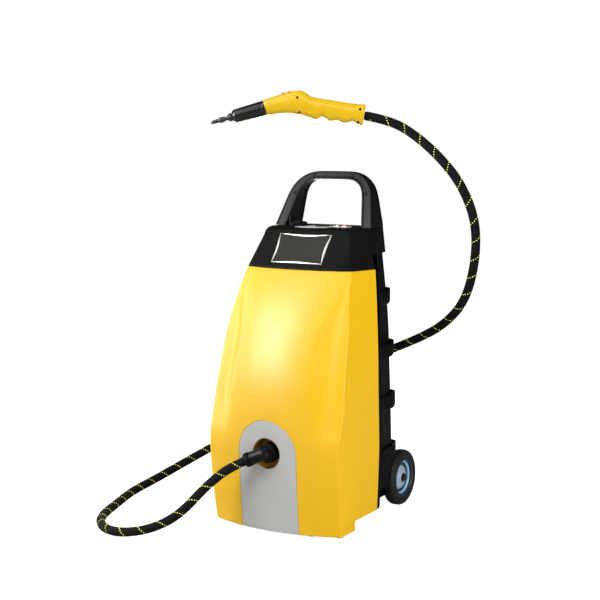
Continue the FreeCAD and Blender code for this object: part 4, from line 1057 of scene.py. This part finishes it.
def make_wheel(side, name):
    x0, x1 = WHEEL_X
    wide = x1 - x0
    at = (x0, WHEEL_Y, WHEEL_Z)
    out = RIGHT
    tread = [(1.2, 50), (0.4, 55), (0.2, 60), (1.6, 68), (4.5, 72.6), (8, 74.2)]
    tread += [(11.0, 75), (12.2, 75), (12.7, 73.4), (13.9, 73.4), (14.4, 75), (16.4, 75), (16.9, 73.4),
              (17.1, 73.4), (17.6, 75), (19.6, 75), (20.1, 73.4), (21.3, 73.4), (21.8, 75), (23.0, 75)]
    tread += [(26, 74.2), (29.5, 72.6), (31.6, 69.2), (32.6, 66.8), (32.2, 65.4), (33.6, 63.6), (33.8, 60),
              (33.6, 55), (32.8, 50)]
    tyre = hollow(tread, at, out, 0.8, 96)
    outer_rim = [(6, 44.5), (4, 46), (4, 49.9), (wide - 2.6, 49.9), (wide - 1.2, 48.9), (wide - 1.0, 47.6),
                 (wide - 3.0, 46.4), (wide - 9.0, 44.4)]
    ring_line = [(14, 40.2), (8, 44.3), (wide - 8.8, 44.3), (wide - 8.0, 43.2), (wide - 9.0, 41.6),
                 (wide - 12, 40.2)]
    trough = [(15, 32.2), (15, 40.1), (wide - 13.5, 40.1), (wide - 15.5, 36), (wide - 15.5, 32.2)]
    disc_line = [(10, 6.06), (10, 14), (15, 16), (15, 32.1), (wide - 14.5, 32.1), (wide - 12.5, 30),
                 (wide - 11.0, 25), (wide - 9.0, 17.5), (wide - 5.6, 15.4), (wide - 5.4, 6.06)]
    band = joined([hollow(outer_rim, at, out, 0.7, 96), hollow(trough, at, out, 0.7, 96)])
    bright = hollow(ring_line, at, out, 0.7, 96)
    dish = hollow(disc_line, at, out, 1.0, 96)
    bolts = []
    for index in range(WHEEL_BOLTS):
        angle = TURN * index / WHEEL_BOLTS + 0.3
        spot = Vector((x1 - 11.2, WHEEL_Y + 21.3 * math.cos(angle), WHEEL_Z + 21.3 * math.sin(angle)))
        bolts.append(turned([(-3, 0), (-3, 2.6), (1.4, 2.6), (2.2, 1.6), (2.2, 0)], spot, out, 0.4, 16))
    parts = {"tyre": (tyre, "tyre", [f"tyre_{name}"]), "rim_band": (band, "band", [f"rim_{name}"]),
             "rim_ring": (bright, "hub", []), "rim_disc": (joined([dish] + bolts), "rim", [])}
    for part, (shape, look, nodes) in parts.items():
        piece(f"{part}_{name}_mesh", shape if side > 0 else mirrored(shape), look, f"wheel_{name}", nodes,
              sharp=35)


def hexagon(angle, radius):
    """The reach at an angle of a hexagon whose flats stand at the radius."""
    wedge = (angle + TURN / 12) % (TURN / 6) - TURN / 12
    return radius * (1 / math.cos(wedge))


def make_axle_nuts():
    base = Vector((WHEEL_X[1] - 5.4, WHEEL_Y, WHEEL_Z))
    washer = hollow([(0, 6.05), (0, 12.5), (1.6, 12.5), (1.6, 6.05)], base, RIGHT, 0.4, 48)
    flats = lathe([(1.7, 6.8), (2.1, 7.3), (7.4, 7.3), (7.9, 6.8), (7.9, 0)], base, RIGHT, 48, hexagon)
    dome = turned([(7.6, 0), (7.6, 6.2), (9.4, 5.8), (10.8, 3.6), (11.0, 0)], base, RIGHT, 1.2, 32)
    piece("axle_dome_nuts", both_sides(joined([washer, flats, dome])), "dark_steel", "machine", ["axle_nuts"],
          sharp=30)


# ---------------------------------------------------------------- hose fittings

ELBOW_R = 17.2
NUT_RIBS = 12


def make_hose_fittings():
    start = Vector(HOSE_ROUTE[0]) / MM
    back = (start - Vector(HOSE_ROUTE[1]) / MM).normalized()
    centre = Vector((0, -261, SOCKET_Z))
    reach = (start - centre).length
    sleeve = turned([(-1.0, 11.6), (-1.0, 14.2), (16, 14.2), (16.4, 16.4), (18.4, 16.9), (21, 16.9),
                     (22, 16.2), (reach - 8, 16.8), (reach, 16.8)], start, back, 0.6, 48)
    ball = turned([(-ELBOW_R * math.cos(k * math.pi / 24), ELBOW_R * math.sin(k * math.pi / 24))
                   for k in range(0, 25)], centre, BACKWARD, 0, 64)
    neck = turned([(4, 20.5), (4, 21), (16, 21), (16, 0)], centre, BACKWARD, 0.5, 48)
    piece("elbow_moulding", joined([sleeve, ball, neck]), "handle", "machine", ["hose_elbow"], sharp=40)

    def ridge(angle, p):
        return 0.75 * max(0.0, math.cos(angle * NUT_RIBS)) ** 2 if p.y > 24.5 and 14 < p.x < 40 else 0

    nut = [(12, 21.4), (12, 24.2), (15, 25.0), (20, 25.2), (36, 25.2), (44, 24), (52, 24), (52, 12), (16, 12),
           (16, 21.4)]
    piece("hose_nut_ribbed", hollow(nut, centre, BACKWARD, 1.0, 12 * NUT_RIBS, ridge), "handle", "machine",
          ["hose_nut"], sharp=35)
    band = [(0.5, 14.7), (0.5, 17.6), (3.2, 18.4), (5.2, 17.2), (8.2, 17.2), (10.2, 18.4), (13.4, 17.6),
            (13.4, 14.7)]
    clamp = hollow(band, start, back, 0.9, 64)
    lugs = []
    first, second = across_axis(back)
    for angle in (0.5, 2.6, 4.7):
        out = first * math.cos(angle) + second * math.sin(angle)
        lugs.append(turned([(-3, 0), (-3, 3.6), (1.6, 3.6), (2.4, 2.6), (2.4, 0)],
                           start + back * 6.8 + out * 16.4, out, 0.6, 20))
    piece("clamp_band", joined([clamp] + lugs), "black", "machine", ["hose_clamp"], sharp=40)


make_rear_shell()
make_wheel(-1, "left")
make_wheel(1, "right")
make_axle_nuts()
make_hose_fittings()


# ---------------------------------------------------------------- gun

GUN_TURN = math.radians(31.0)
GUN_ALONG = Vector((math.cos(GUN_TURN), math.sin(GUN_TURN), 0))
GUN_ACROSS = Vector((-math.sin(GUN_TURN), math.cos(GUN_TURN), 0))
GUN_AT = Vector((0, -84, 0))
GUN_TOP = [(-94, 1081), (-48, 1096), (-16, 1104), (0, 1105.5), (12, 1101), (29, 1090), (83, 1080.5),
           (138, 1072), (166, 1070.5)]
GUN_LOW = [(-84, 1044), (-39, 1049), (-4, 1046), (20, 1040), (39, 1033.5), (56.5, 1040), (75, 1029),
           (93, 1031.5), (111, 1024), (130, 1028), (143, 1022), (157, 1017.5)]
BARREL_DROP = math.radians(15.5)
FORWARD = (GUN_ALONG * -math.cos(BARREL_DROP) + Vector((0, 0, -math.sin(BARREL_DROP)))).normalized()
BUTTON_TILT = math.atan(0.25)
BUTTONS = {"steam": -47.0, "water": -33.5}
FERRULE_AT = Vector((142, 1, 1042))
HOSE_NEAR_FERRULE = Vector((198, 34, 1030))
NOZZLE_START = 104.3          # from the barrel's start, along the lance


def gun_point(u, z, w=0.0):
    return GUN_AT + GUN_ALONG * u + GUN_ACROSS * w + Vector((0, 0, z))


def barrel_point(along):
    return gun_point(-89, 1062) + FORWARD * along


def button_ring(start, inset, up):
    """A rounded rectangle square to the gun's top, at a height above it."""
    slope = GUN_ALONG * math.cos(BUTTON_TILT) + Vector((0, 0, math.sin(BUTTON_TILT)))
    normal = GUN_ALONG * -math.sin(BUTTON_TILT) + Vector((0, 0, math.cos(BUTTON_TILT)))
    base = gun_point(start, 1096 + (start + 48) * 0.25) + normal * up
    corners = [(inset, inset - 6), (11 - inset, inset - 6), (11 - inset, 6 - inset), (inset, 6 - inset)]
    return rounded([base + slope * a + GUN_ACROSS * b for a, b in corners], 2.2 - inset * 0.3, True, 4)


def gun_half(side):
    """Half of the gun's body, a rounded section lofted from the barrel to the hose."""
    rings = []
    steps = 84
    places = [(0.0, 1.6), (0.002, 0.7), (0.006, 0.0)]
    places += [(0.006 + 0.988 * k / steps, 0.0) for k in range(1, steps)]
    places += [(0.994, 0.0), (0.998, 0.7), (1.0, 1.6)]
    for t, inset in places:
        u_top, u_low = -94 + 260 * t, -84 + 241 * t
        top = gun_point(u_top, at_height(GUN_TOP, u_top)[0])
        low = gun_point(u_low, at_height(GUN_LOW, u_low)[0])
        centre = (top + low) / 2
        up = (top - low).normalized()
        tall = (top - low).length / 2 - inset
        wide = 16.9 - 1.3 * math.sin(math.pi * eased(0.35, 0.9, t)) - inset
        power = 2 / (2.1 + 0.35 * eased(0.1, 0.5, t))
        ring = []
        for k in range(33):
            angle = math.pi / 2 - math.pi * k / 32
            rise = abs(math.sin(angle)) ** power * (1 if angle >= 0 else -1)
            reach = max(abs(math.cos(angle)) ** power * wide, 0.16)
            ring.append(centre + up * tall * rise + GUN_ACROSS * side * reach)
        mid = [centre + up * tall * (k / 5 - 1) + GUN_ACROSS * side * 0.15 for k in range(1, 10)]
        rings.append(ring + mid)
    return loft(rings)


def screw_head(at, axis, radius, tall):
    """A button head with a six-sided socket."""
    at, axis = Vector(at), Vector(axis).normalized()
    ways = spokes(axis, 24)
    rings = []
    for along, reach in ((0, 1), (0.55, 1), (0.9, 0.86), (1, 0.66)):
        rings.append([at + axis * (tall * along) + out * (radius * reach) for _, out in ways])
    for along, reach in ((1, 0.5), (0.2, 0.47)):
        rings.append([at + axis * (tall * along) + out * hexagon(angle, 0.87 * radius * reach) for angle,
                      out in ways])
    return loft(rings)


def make_gun():
    tail = (HOSE_NEAR_FERRULE - FERRULE_AT).normalized()
    bore = rod(10.4, FERRULE_AT - tail * 28, tail, 50, 48)
    slots = [loft([button_ring(start, -0.4, up) for up in (-14, 14)]) for start in BUTTONS.values()]
    screw_spots = [(-7, 1087.5), (-2, 1051), (151, 1058), (146, 1026)]
    wells = [rod(3.3, gun_point(u, z, -20), GUN_ACROSS, 8, 24) for u, z in screw_spots]
    for name, side in (("left", -1), ("right", 1)):
        piece(f"gun_half_{name}", gun_half(side), "gun", "gun", [f"gun_shell_{name}"], sharp=42,
              cuts=[bore] + slots + (wells if side < 0 else []))
    screws = [screw_head(gun_point(u, z, -12.6), -GUN_ACROSS, 3.15, 1.5) for u, z in screw_spots]
    piece("gun_screw_heads", joined(screws), "screw", "gun", ["gun_screws"])
    barrel = [(0.4, 9), (0.4, 18.6), (1.2, 19), (5.0, 18.9), (5.6, 18.2), (7.0, 18.2), (7.6, 18.8),
              (72, 16.9), (78, 16.7), (84, 12.2), (84, 9)]
    piece("gun_barrel_moulding", turned(barrel, barrel_point(0), FORWARD, 0.8, 64), "elbow", "gun",
          ["gun_barrel"], sharp=40)
    tube = [(-44, 5), (84.6, 5), (84.6, 9.6), (87.5, 10.5), (90, 10.5), (90.6, 9.4), (91.6, 9.4),
            (92.2, 10.5), (93.6, 10), (94.6, 7.0), (97.4, 7.0), (98.4, 5.2), (103.9, 5.2), (103.9, 2.5)]
    piece("lance_stem", turned(tube, barrel_point(0), FORWARD, 0.5, 48), "dark_steel", "gun", ["lance_tube"])
    grooves = []
    for _, out in spokes(FORWARD, 20):
        base = barrel_point(NOZZLE_START + 4.0) + out * 6.7
        grooves.append(bar_along(base, FORWARD.cross(out), 0.45, 0.25, out * 0.5, FORWARD * 8.0))
    tip = [(0, 1.5), (0, 5.8), (2.5, 6.2), (3.2, 6.9), (13, 6.9), (13.8, 6.0), (16, 5), (31, 4.5), (37, 2.7),
           (37, 1.5)]
    piece("nozzle_cone", joined([turned(tip, barrel_point(NOZZLE_START), FORWARD, 0.5, 48)] + grooves),
          "dark_steel", "nozzle", ["nozzle_tip"])
    for name, start in BUTTONS.items():
        rings = [button_ring(start, inset, up) for inset, up in
                 ((0.0, -5.0), (0.0, 1.1), (0.25, 1.7), (0.8, 2.1), (1.8, 2.2), (2.6, 2.0), (4.6, 1.9))]
        piece(f"{name}_button_pad", loft(rings), "orange", f"{name}_button", [f"{name}_button"], sharp=50)


# ---------------------------------------------------------------- deck

CAP_RIBS = 30


def make_cap():
    x, y = CAP_AT
    low = 759.3
    first_side = [(0, 20.4), (0, 23.2), (0.8, 23.4), (7.6, 23.2), (9.0, 21.8), (10, 19.6), (9.4, 17.6),
                  (9.2, 0)]
    rings = []
    outline = profile_line(first_side, 0.6)
    count = 6 * CAP_RIBS
    for index in range(count):
        angle = TURN * index / count
        out = Vector((math.cos(angle), math.sin(angle), 0))
        ridge = 0.7 * max(0.0, math.cos(angle * CAP_RIBS)) ** 1.5
        rings.append([Vector((x, y, low + p.x)) + out * max(p.y + (ridge if 22.6 < p.y and p.x < 7.4 else 0),
                                                            0.0)
                      for p in outline] + [Vector((x, y, low + 4.4)), Vector((x, y, low + 4.4)) + out * 20.4])
    cap = loft(rings, around=True)
    fin = rounded([(-86.6, 0, 766), (-86.6, 16, 766), (-86.6, 12.4, 786), (-86.6, 6.6, 790)], 3.0, True, 4)
    fin_shape = bevelled(fin, Vector((-86.6, 9.5, 776)), RIGHT,
                         ((1.1, 0.9), (1.5, 0.2), (2.2, 0.0), (4.4, 0.0), (5.1, 0.2), (5.5, 0.9)))
    bars = []
    for k in range(-2, 3):
        middle = Vector((x, y + 4.6 * k, low + 9.6))
        bar = rounded(oblong(x - 12, x + 12, y + 4.6 * k - 1, y + 4.6 * k + 1, low + 9.6), 0.9, True, 3)
        bars.append(loft([[p + Vector((0, 0, dz)) for p in bar] for dz in (-1.2, 0.35)]
                         + [[p + (middle - p) * 0.06 + Vector((0, 0, 0.6)) for p in bar]]))
    piece("filler_cap_moulding", joined([cap, fin_shape] + bars), "black", "filler_cap", ["filler_cap"],
          sharp=40)


# half width, half depth, height and corner reach, from inside the deck over the rim and down the well
SWITCH_FRAME = [(7.7, 9.8, 735, 0.6), (7.7, 9.8, 757, 0.6), (9.8, 12.8, 757.1, 1.5), (10, 13, 757.5, 1.5),
                (10, 13, 759, 1.5), (9.6, 12.6, 759.8, 1.5), (8.9, 11.9, 760, 1.5), (6.6, 9.3, 759.3, 0.8),
                (6.5, 9.1, 758.6, 0.6), (6.5, 9.1, 748, 0.6), (4, 6, 748, 0.6)]
ROCKER_SIDES = [(-6.1, 0.9), (-5.9, 0.35), (-5.3, 0.0), (5.3, 0.0), (5.9, 0.35), (6.1, 0.9)]


def make_switches():
    frames = []
    for name, x in SWITCHES.items():
        frames.append(loft([rounded(oblong(x - half_x, x + half_x, SWITCH_Y - half_y, SWITCH_Y + half_y, z),
                                    reach, True, 4) for half_x, half_y, z, reach in SWITCH_FRAME]))
        side = rounded([(0, 12.1, 757.5), (0, 12.4, 763.6), (0, 20, 761.3), (0, 27.7, 761.4), (0, 27.9, 754),
                        (0, 20, 752)], [0.6, 1.6, 5.0, 1.2, 0.6, 2.0], True, 4)
        cap = bevelled(side, Vector((0, SWITCH_Y, 758)), RIGHT,
                       [(x + dx, inset) for dx, inset in ROCKER_SIDES])
        mark = hollow([(0, 1.5), (0, 2.1), (0.35, 2.1), (0.35, 1.5)], (x, 25, 761.25), UP, 0.1, 24)
        bar = block(x - 0.35, x + 0.35, 13.4, 17.2, 760, 763.3)
        piece(f"{name}_rocker_cap", cap, "red", f"{name}_switch", [f"{name}_rocker"], sharp=40)
        piece(f"{name}_rocker_mark", joined([mark, bar]), "white", f"{name}_switch", sharp=40)
    piece("switch_bezels", joined(frames), "white", "machine", ["switch_frames"], sharp=40)


def make_gauge():
    x, y = GAUGE_AT
    face = 756.0
    at = (x, y, face)
    profile = [(-16, 0), (-16, 18.6), (4.4, 18.6), (5.0, 18.0), (5.0, 17.2), (3.2, 16.6), (0.1, 16.6), (0, 0)]
    stem = turned([(-24, 0), (-24, 4), (-15, 4), (-15, 0)], at, UP, 0.3, 24)
    pin = turned([(-0.2, 0), (-0.2, 1.0), (1.9, 1.0), (1.9, 0)], at, UP, 0.2, 16)
    piece("gauge_case", joined([turned(profile, at, UP, 0.5, 64), stem, pin]), "black",
          "machine", ["gauge_body"], sharp=35)
    dial = hollow([(0.05, 1.4), (0.05, 16.2), (0.3, 16.2), (0.3, 1.4)], at, UP, 0.05, 64)
    piece("gauge_dial", dial, "white", "machine", sharp=35)
    ticks = []
    for k in range(31):
        angle = math.radians(225 - 9 * k)
        out = Vector((math.cos(angle), math.sin(angle), 0))
        side = Vector((-out.y, out.x, 0))
        inner, half = (11.6, 0.35) if k % 5 == 0 else (13.2, 0.18)
        base = Vector((x, y, face + 0.25))
        ticks.append(slab([base + out * inner - side * half, base + out * 15 - side * half,
                           base + out * 15 + side * half, base + out * inner + side * half], (0, 0, 0.2)))
    piece("gauge_ticks", joined(ticks), "black", "machine")


# ---------------------------------------------------------------- screws, feet and fittings at the back

def make_screws():
    inward = Vector((0, math.cos(LEAN_ANGLE), -math.sin(LEAN_ANGLE)))
    heads = []
    for x, z in ((59, 889), (106.5, 843)):
        for side in (-1, 1):
            at = Vector((side * x, HANDLE_Y + (z - DECK) * LEAN, z)) + inward * 3.4
            heads.append(screw_head(at, -inward, 3.2, 1.5))
            heads.append(hollow([(0.4, 3.2), (0.4, 5.2), (1.9, 4.6), (1.9, 3.5)], at, -inward, 0.3, 32))
    piece("handle_screw_heads", joined(heads), "rear", "machine", ["handle_screws"])
    heads = []
    for z in (215, 362, 500, 640):
        for side in (-1, 1):
            heads.append(screw_head((side * 118, COLUMN_BACK - 0.4, z), BACKWARD, 4.5, 2.8))
    piece("case_screw_heads", joined(heads), "steel", "machine", ["case_screws"])


def make_feet():
    feet = []
    for x, y in ((176, -184), (106, -207)):
        for side in (-1, 1):
            feet.append(turned([(0, 0), (0, 7.4), (0.9, 8.6), (4, 9), (4, 0)], (side * x, y, 0), UP, 0.6, 32))
    piece("rubber_feet", joined(feet), "foot", "machine", ["feet"])


def make_rear_fittings():
    hook_x, hook_y, hook_z, hook_top = 9, 230, 327, 375
    path = rounded([(hook_x, 119, hook_z), (hook_x, hook_y, hook_z), (hook_x, hook_y, hook_top)], 18,
                   steps=12)
    hook = tube_along(path, frames_along(path), lambda angle: 5.0, 32)
    tip = turned([(-0.5, 5.0), (1.2, 4.6), (2.0, 3.0), (2.0, 0)], (hook_x, hook_y, hook_top), UP, 0.8, 32)
    collar = hollow([(0, 5.05), (0, 12), (1.6, 12), (3.2, 9), (5, 7), (5, 5.05)],
                    (hook_x, COLUMN_BACK, hook_z), BACKWARD, 0.5, 48)
    piece("hose_hook_bar", joined([hook, tip, collar]), "steel", "machine", ["hose_hook"])
    at, out = GLAND_AT, BACKWARD
    body = hollow([(-12, 4.5), (-12, 8.8), (6, 8.8), (6, 10.6), (14, 10.6), (17.2, 9), (18, 7.6), (18, 4.5)],
                  at, out, 0.6, 48)
    nut = lathe([(0, 12.1), (0.5, 12.6), (5.5, 12.6), (6, 12.1)], at, out, 48, hexagon)
    ridges = []
    for k in range(18):
        angle = TURN * k / 18
        radial = Vector((math.cos(angle), 0, math.sin(angle)))
        side = Vector((-radial.z, 0, radial.x))
        base = Vector(at) + Vector((0, 7, 0)) + radial * 10.3
        ridges.append(bar_along(base, side, 0.6, 0.3, radial * 0.7, (0, 6.5, 0)))
    piece("lead_gland", joined([body, nut] + ridges), "rubber", "machine", ["mains_gland"])
    x, y, z = DRAIN_AT
    spout = hollow([(-40, 5.0), (-40, 9.8), (0, 9.8), (0, 13.6), (5, 13.6), (5, 9.8), (12.4, 9.8),
                    (13.4, 8.8), (15, 8.8), (15, 5.0)], (x, y, z), out, 0.6, 48)
    stem = turned([(5, 0), (5, 6), (12, 6), (13.2, 5), (14, 5), (14, 3), (19.4, 3), (20, 2.4), (20, 0)],
                  (x, y + 8, z), UP, 0.4, 32)
    piece("drain_valve_body", joined([spout, stem]), "brass", "machine", ["drain_valve"])
    outline = rounded([(x - 7, y + 1, 0), (x + 8, y + 1.2, 0), (x + 36, y + 3.4, 0), (x + 36, y + 12.6, 0),
                       (x + 8, y + 14.8, 0), (x - 7, y + 15, 0)], [6, 5, 4.4, 4.4, 5, 6], True, 6)
    middle = Vector((x + 12, y + 8, 0))
    low = z + 14.3
    edges = ((0.0, 0.8), (0.3, 0.2), (0.8, 0.0), (3.2, 0.0), (3.7, 0.2), (4.0, 0.8))
    lever = bevelled(outline, middle, UP, [(low + up, inset) for up, inset in edges])
    hole = rod(3.06, (x, y + 8, low - 5), UP, 20, 32)
    piece("drain_lever_plate", lever, "red", "drain_lever", ["drain_lever"], cuts=[hole])


make_gun()
make_cap()
make_switches()
make_gauge()
make_screws()
make_feet()
make_rear_fittings()


# ---------------------------------------------------------------- floor and light

WHITE = (1.0, 1.0, 1.0, 1.0)
FLOOR_GLOW = 0.92             # only for the camera, so it lights nothing
WORLD_FILL = 0.28
WORLD_GLOSS = 0.04
# name, place, point it is aimed at, size, watts, whether it shows only in gloss
LIGHTS = [
    ("key", (-1.1, -1.6, 1.95), (0.0, -0.2, 0.55), (1.3, 1.3), 46, False),
    ("glow", (-1.37, -2.19, 1.58), (0.0, -0.22, 0.48), (2.0, 1.6), 245, True),
    ("top", (-0.4, -1.7, 3.1), (0.0, -0.1, 0.6), (1.8, 1.8), 37, False),
    ("strip", (1.48, -2.56, 2.45), (0.0, -0.1, 1.07), (2.2, 0.5), 24, True),
    ("left", (-2.4, -0.4, 0.9), (0.0, -0.1, 0.4), (0.6, 1.6), 36, False),
    ("right", (3.1, -0.75, 1.0), (0.0, -0.1, 0.45), (1.0, 1.8), 88, False),
    ("behind", (-1.7, 2.4, 0.42), (0.0, 0.1, 0.42), (1.2, 0.5), 32, False),
]


def make_floor():
    kit = Nodes("floor_paper", "white_plastic")
    paper = kit.mix(kit.noise(300), (0.50, 0.50, 0.50), (0.53, 0.53, 0.53))
    kit.link(paper, kit.shader.inputs["Base Color"])
    kit.set(Roughness=0.9, Emission_Color=WHITE, Specular_IOR_Level=0.1)
    seen = kit.add("ShaderNodeLightPath").outputs["Is Camera Ray"]
    kit.link(kit.span(seen, 0.0, 1.0, 0.0, FLOOR_GLOW), kit.shader.inputs["Emission Strength"])
    floor = new_object("floor", to_mesh("floor", block(-9000, 9000, -9000, 9000, -20, -0.2)))
    floor.data.materials.append(kit.material)


def make_light(name, at, towards, size, watts, gloss_only):
    data = bpy.data.lights.new(name, "AREA")
    data.shape = "RECTANGLE"
    data.size, data.size_y = size
    data.energy = watts
    light = bpy.data.objects.new(name, data)
    bpy.context.collection.objects.link(light)
    light.location = at
    light.visible_camera = False
    light.visible_diffuse = not gloss_only
    light.rotation_euler = (Vector(towards) - Vector(at)).to_track_quat("-Z", "Y").to_euler()


def make_world():
    """A white backdrop that fills shadows softly and reflects little."""
    world = bpy.data.worlds.new("studio")
    bpy.context.scene.world = world
    world.use_nodes = True
    tree = world.node_tree
    tree.nodes.clear()
    backdrop = tree.nodes.new("ShaderNodeBackground")
    backdrop.inputs["Color"].default_value = WHITE
    path = tree.nodes.new("ShaderNodeLightPath")
    strength = tree.nodes.new("ShaderNodeMapRange")
    strength.inputs["To Min"].default_value = WORLD_FILL
    strength.inputs["To Max"].default_value = WORLD_GLOSS
    tree.links.new(path.outputs["Is Glossy Ray"], strength.inputs["Value"])
    seen = tree.nodes.new("ShaderNodeMath")
    seen.operation = "MAXIMUM"
    tree.links.new(strength.outputs["Result"], seen.inputs[0])
    tree.links.new(path.outputs["Is Camera Ray"], seen.inputs[1])
    tree.links.new(seen.outputs[0], backdrop.inputs["Strength"])
    out = tree.nodes.new("ShaderNodeOutputWorld")
    tree.links.new(backdrop.outputs[0], out.inputs["Surface"])


make_floor()
make_world()
for light in LIGHTS:
    make_light(*light)
bpy.context.scene.view_settings.view_transform = "Standard"
bpy.context.scene.view_settings.look = "None"
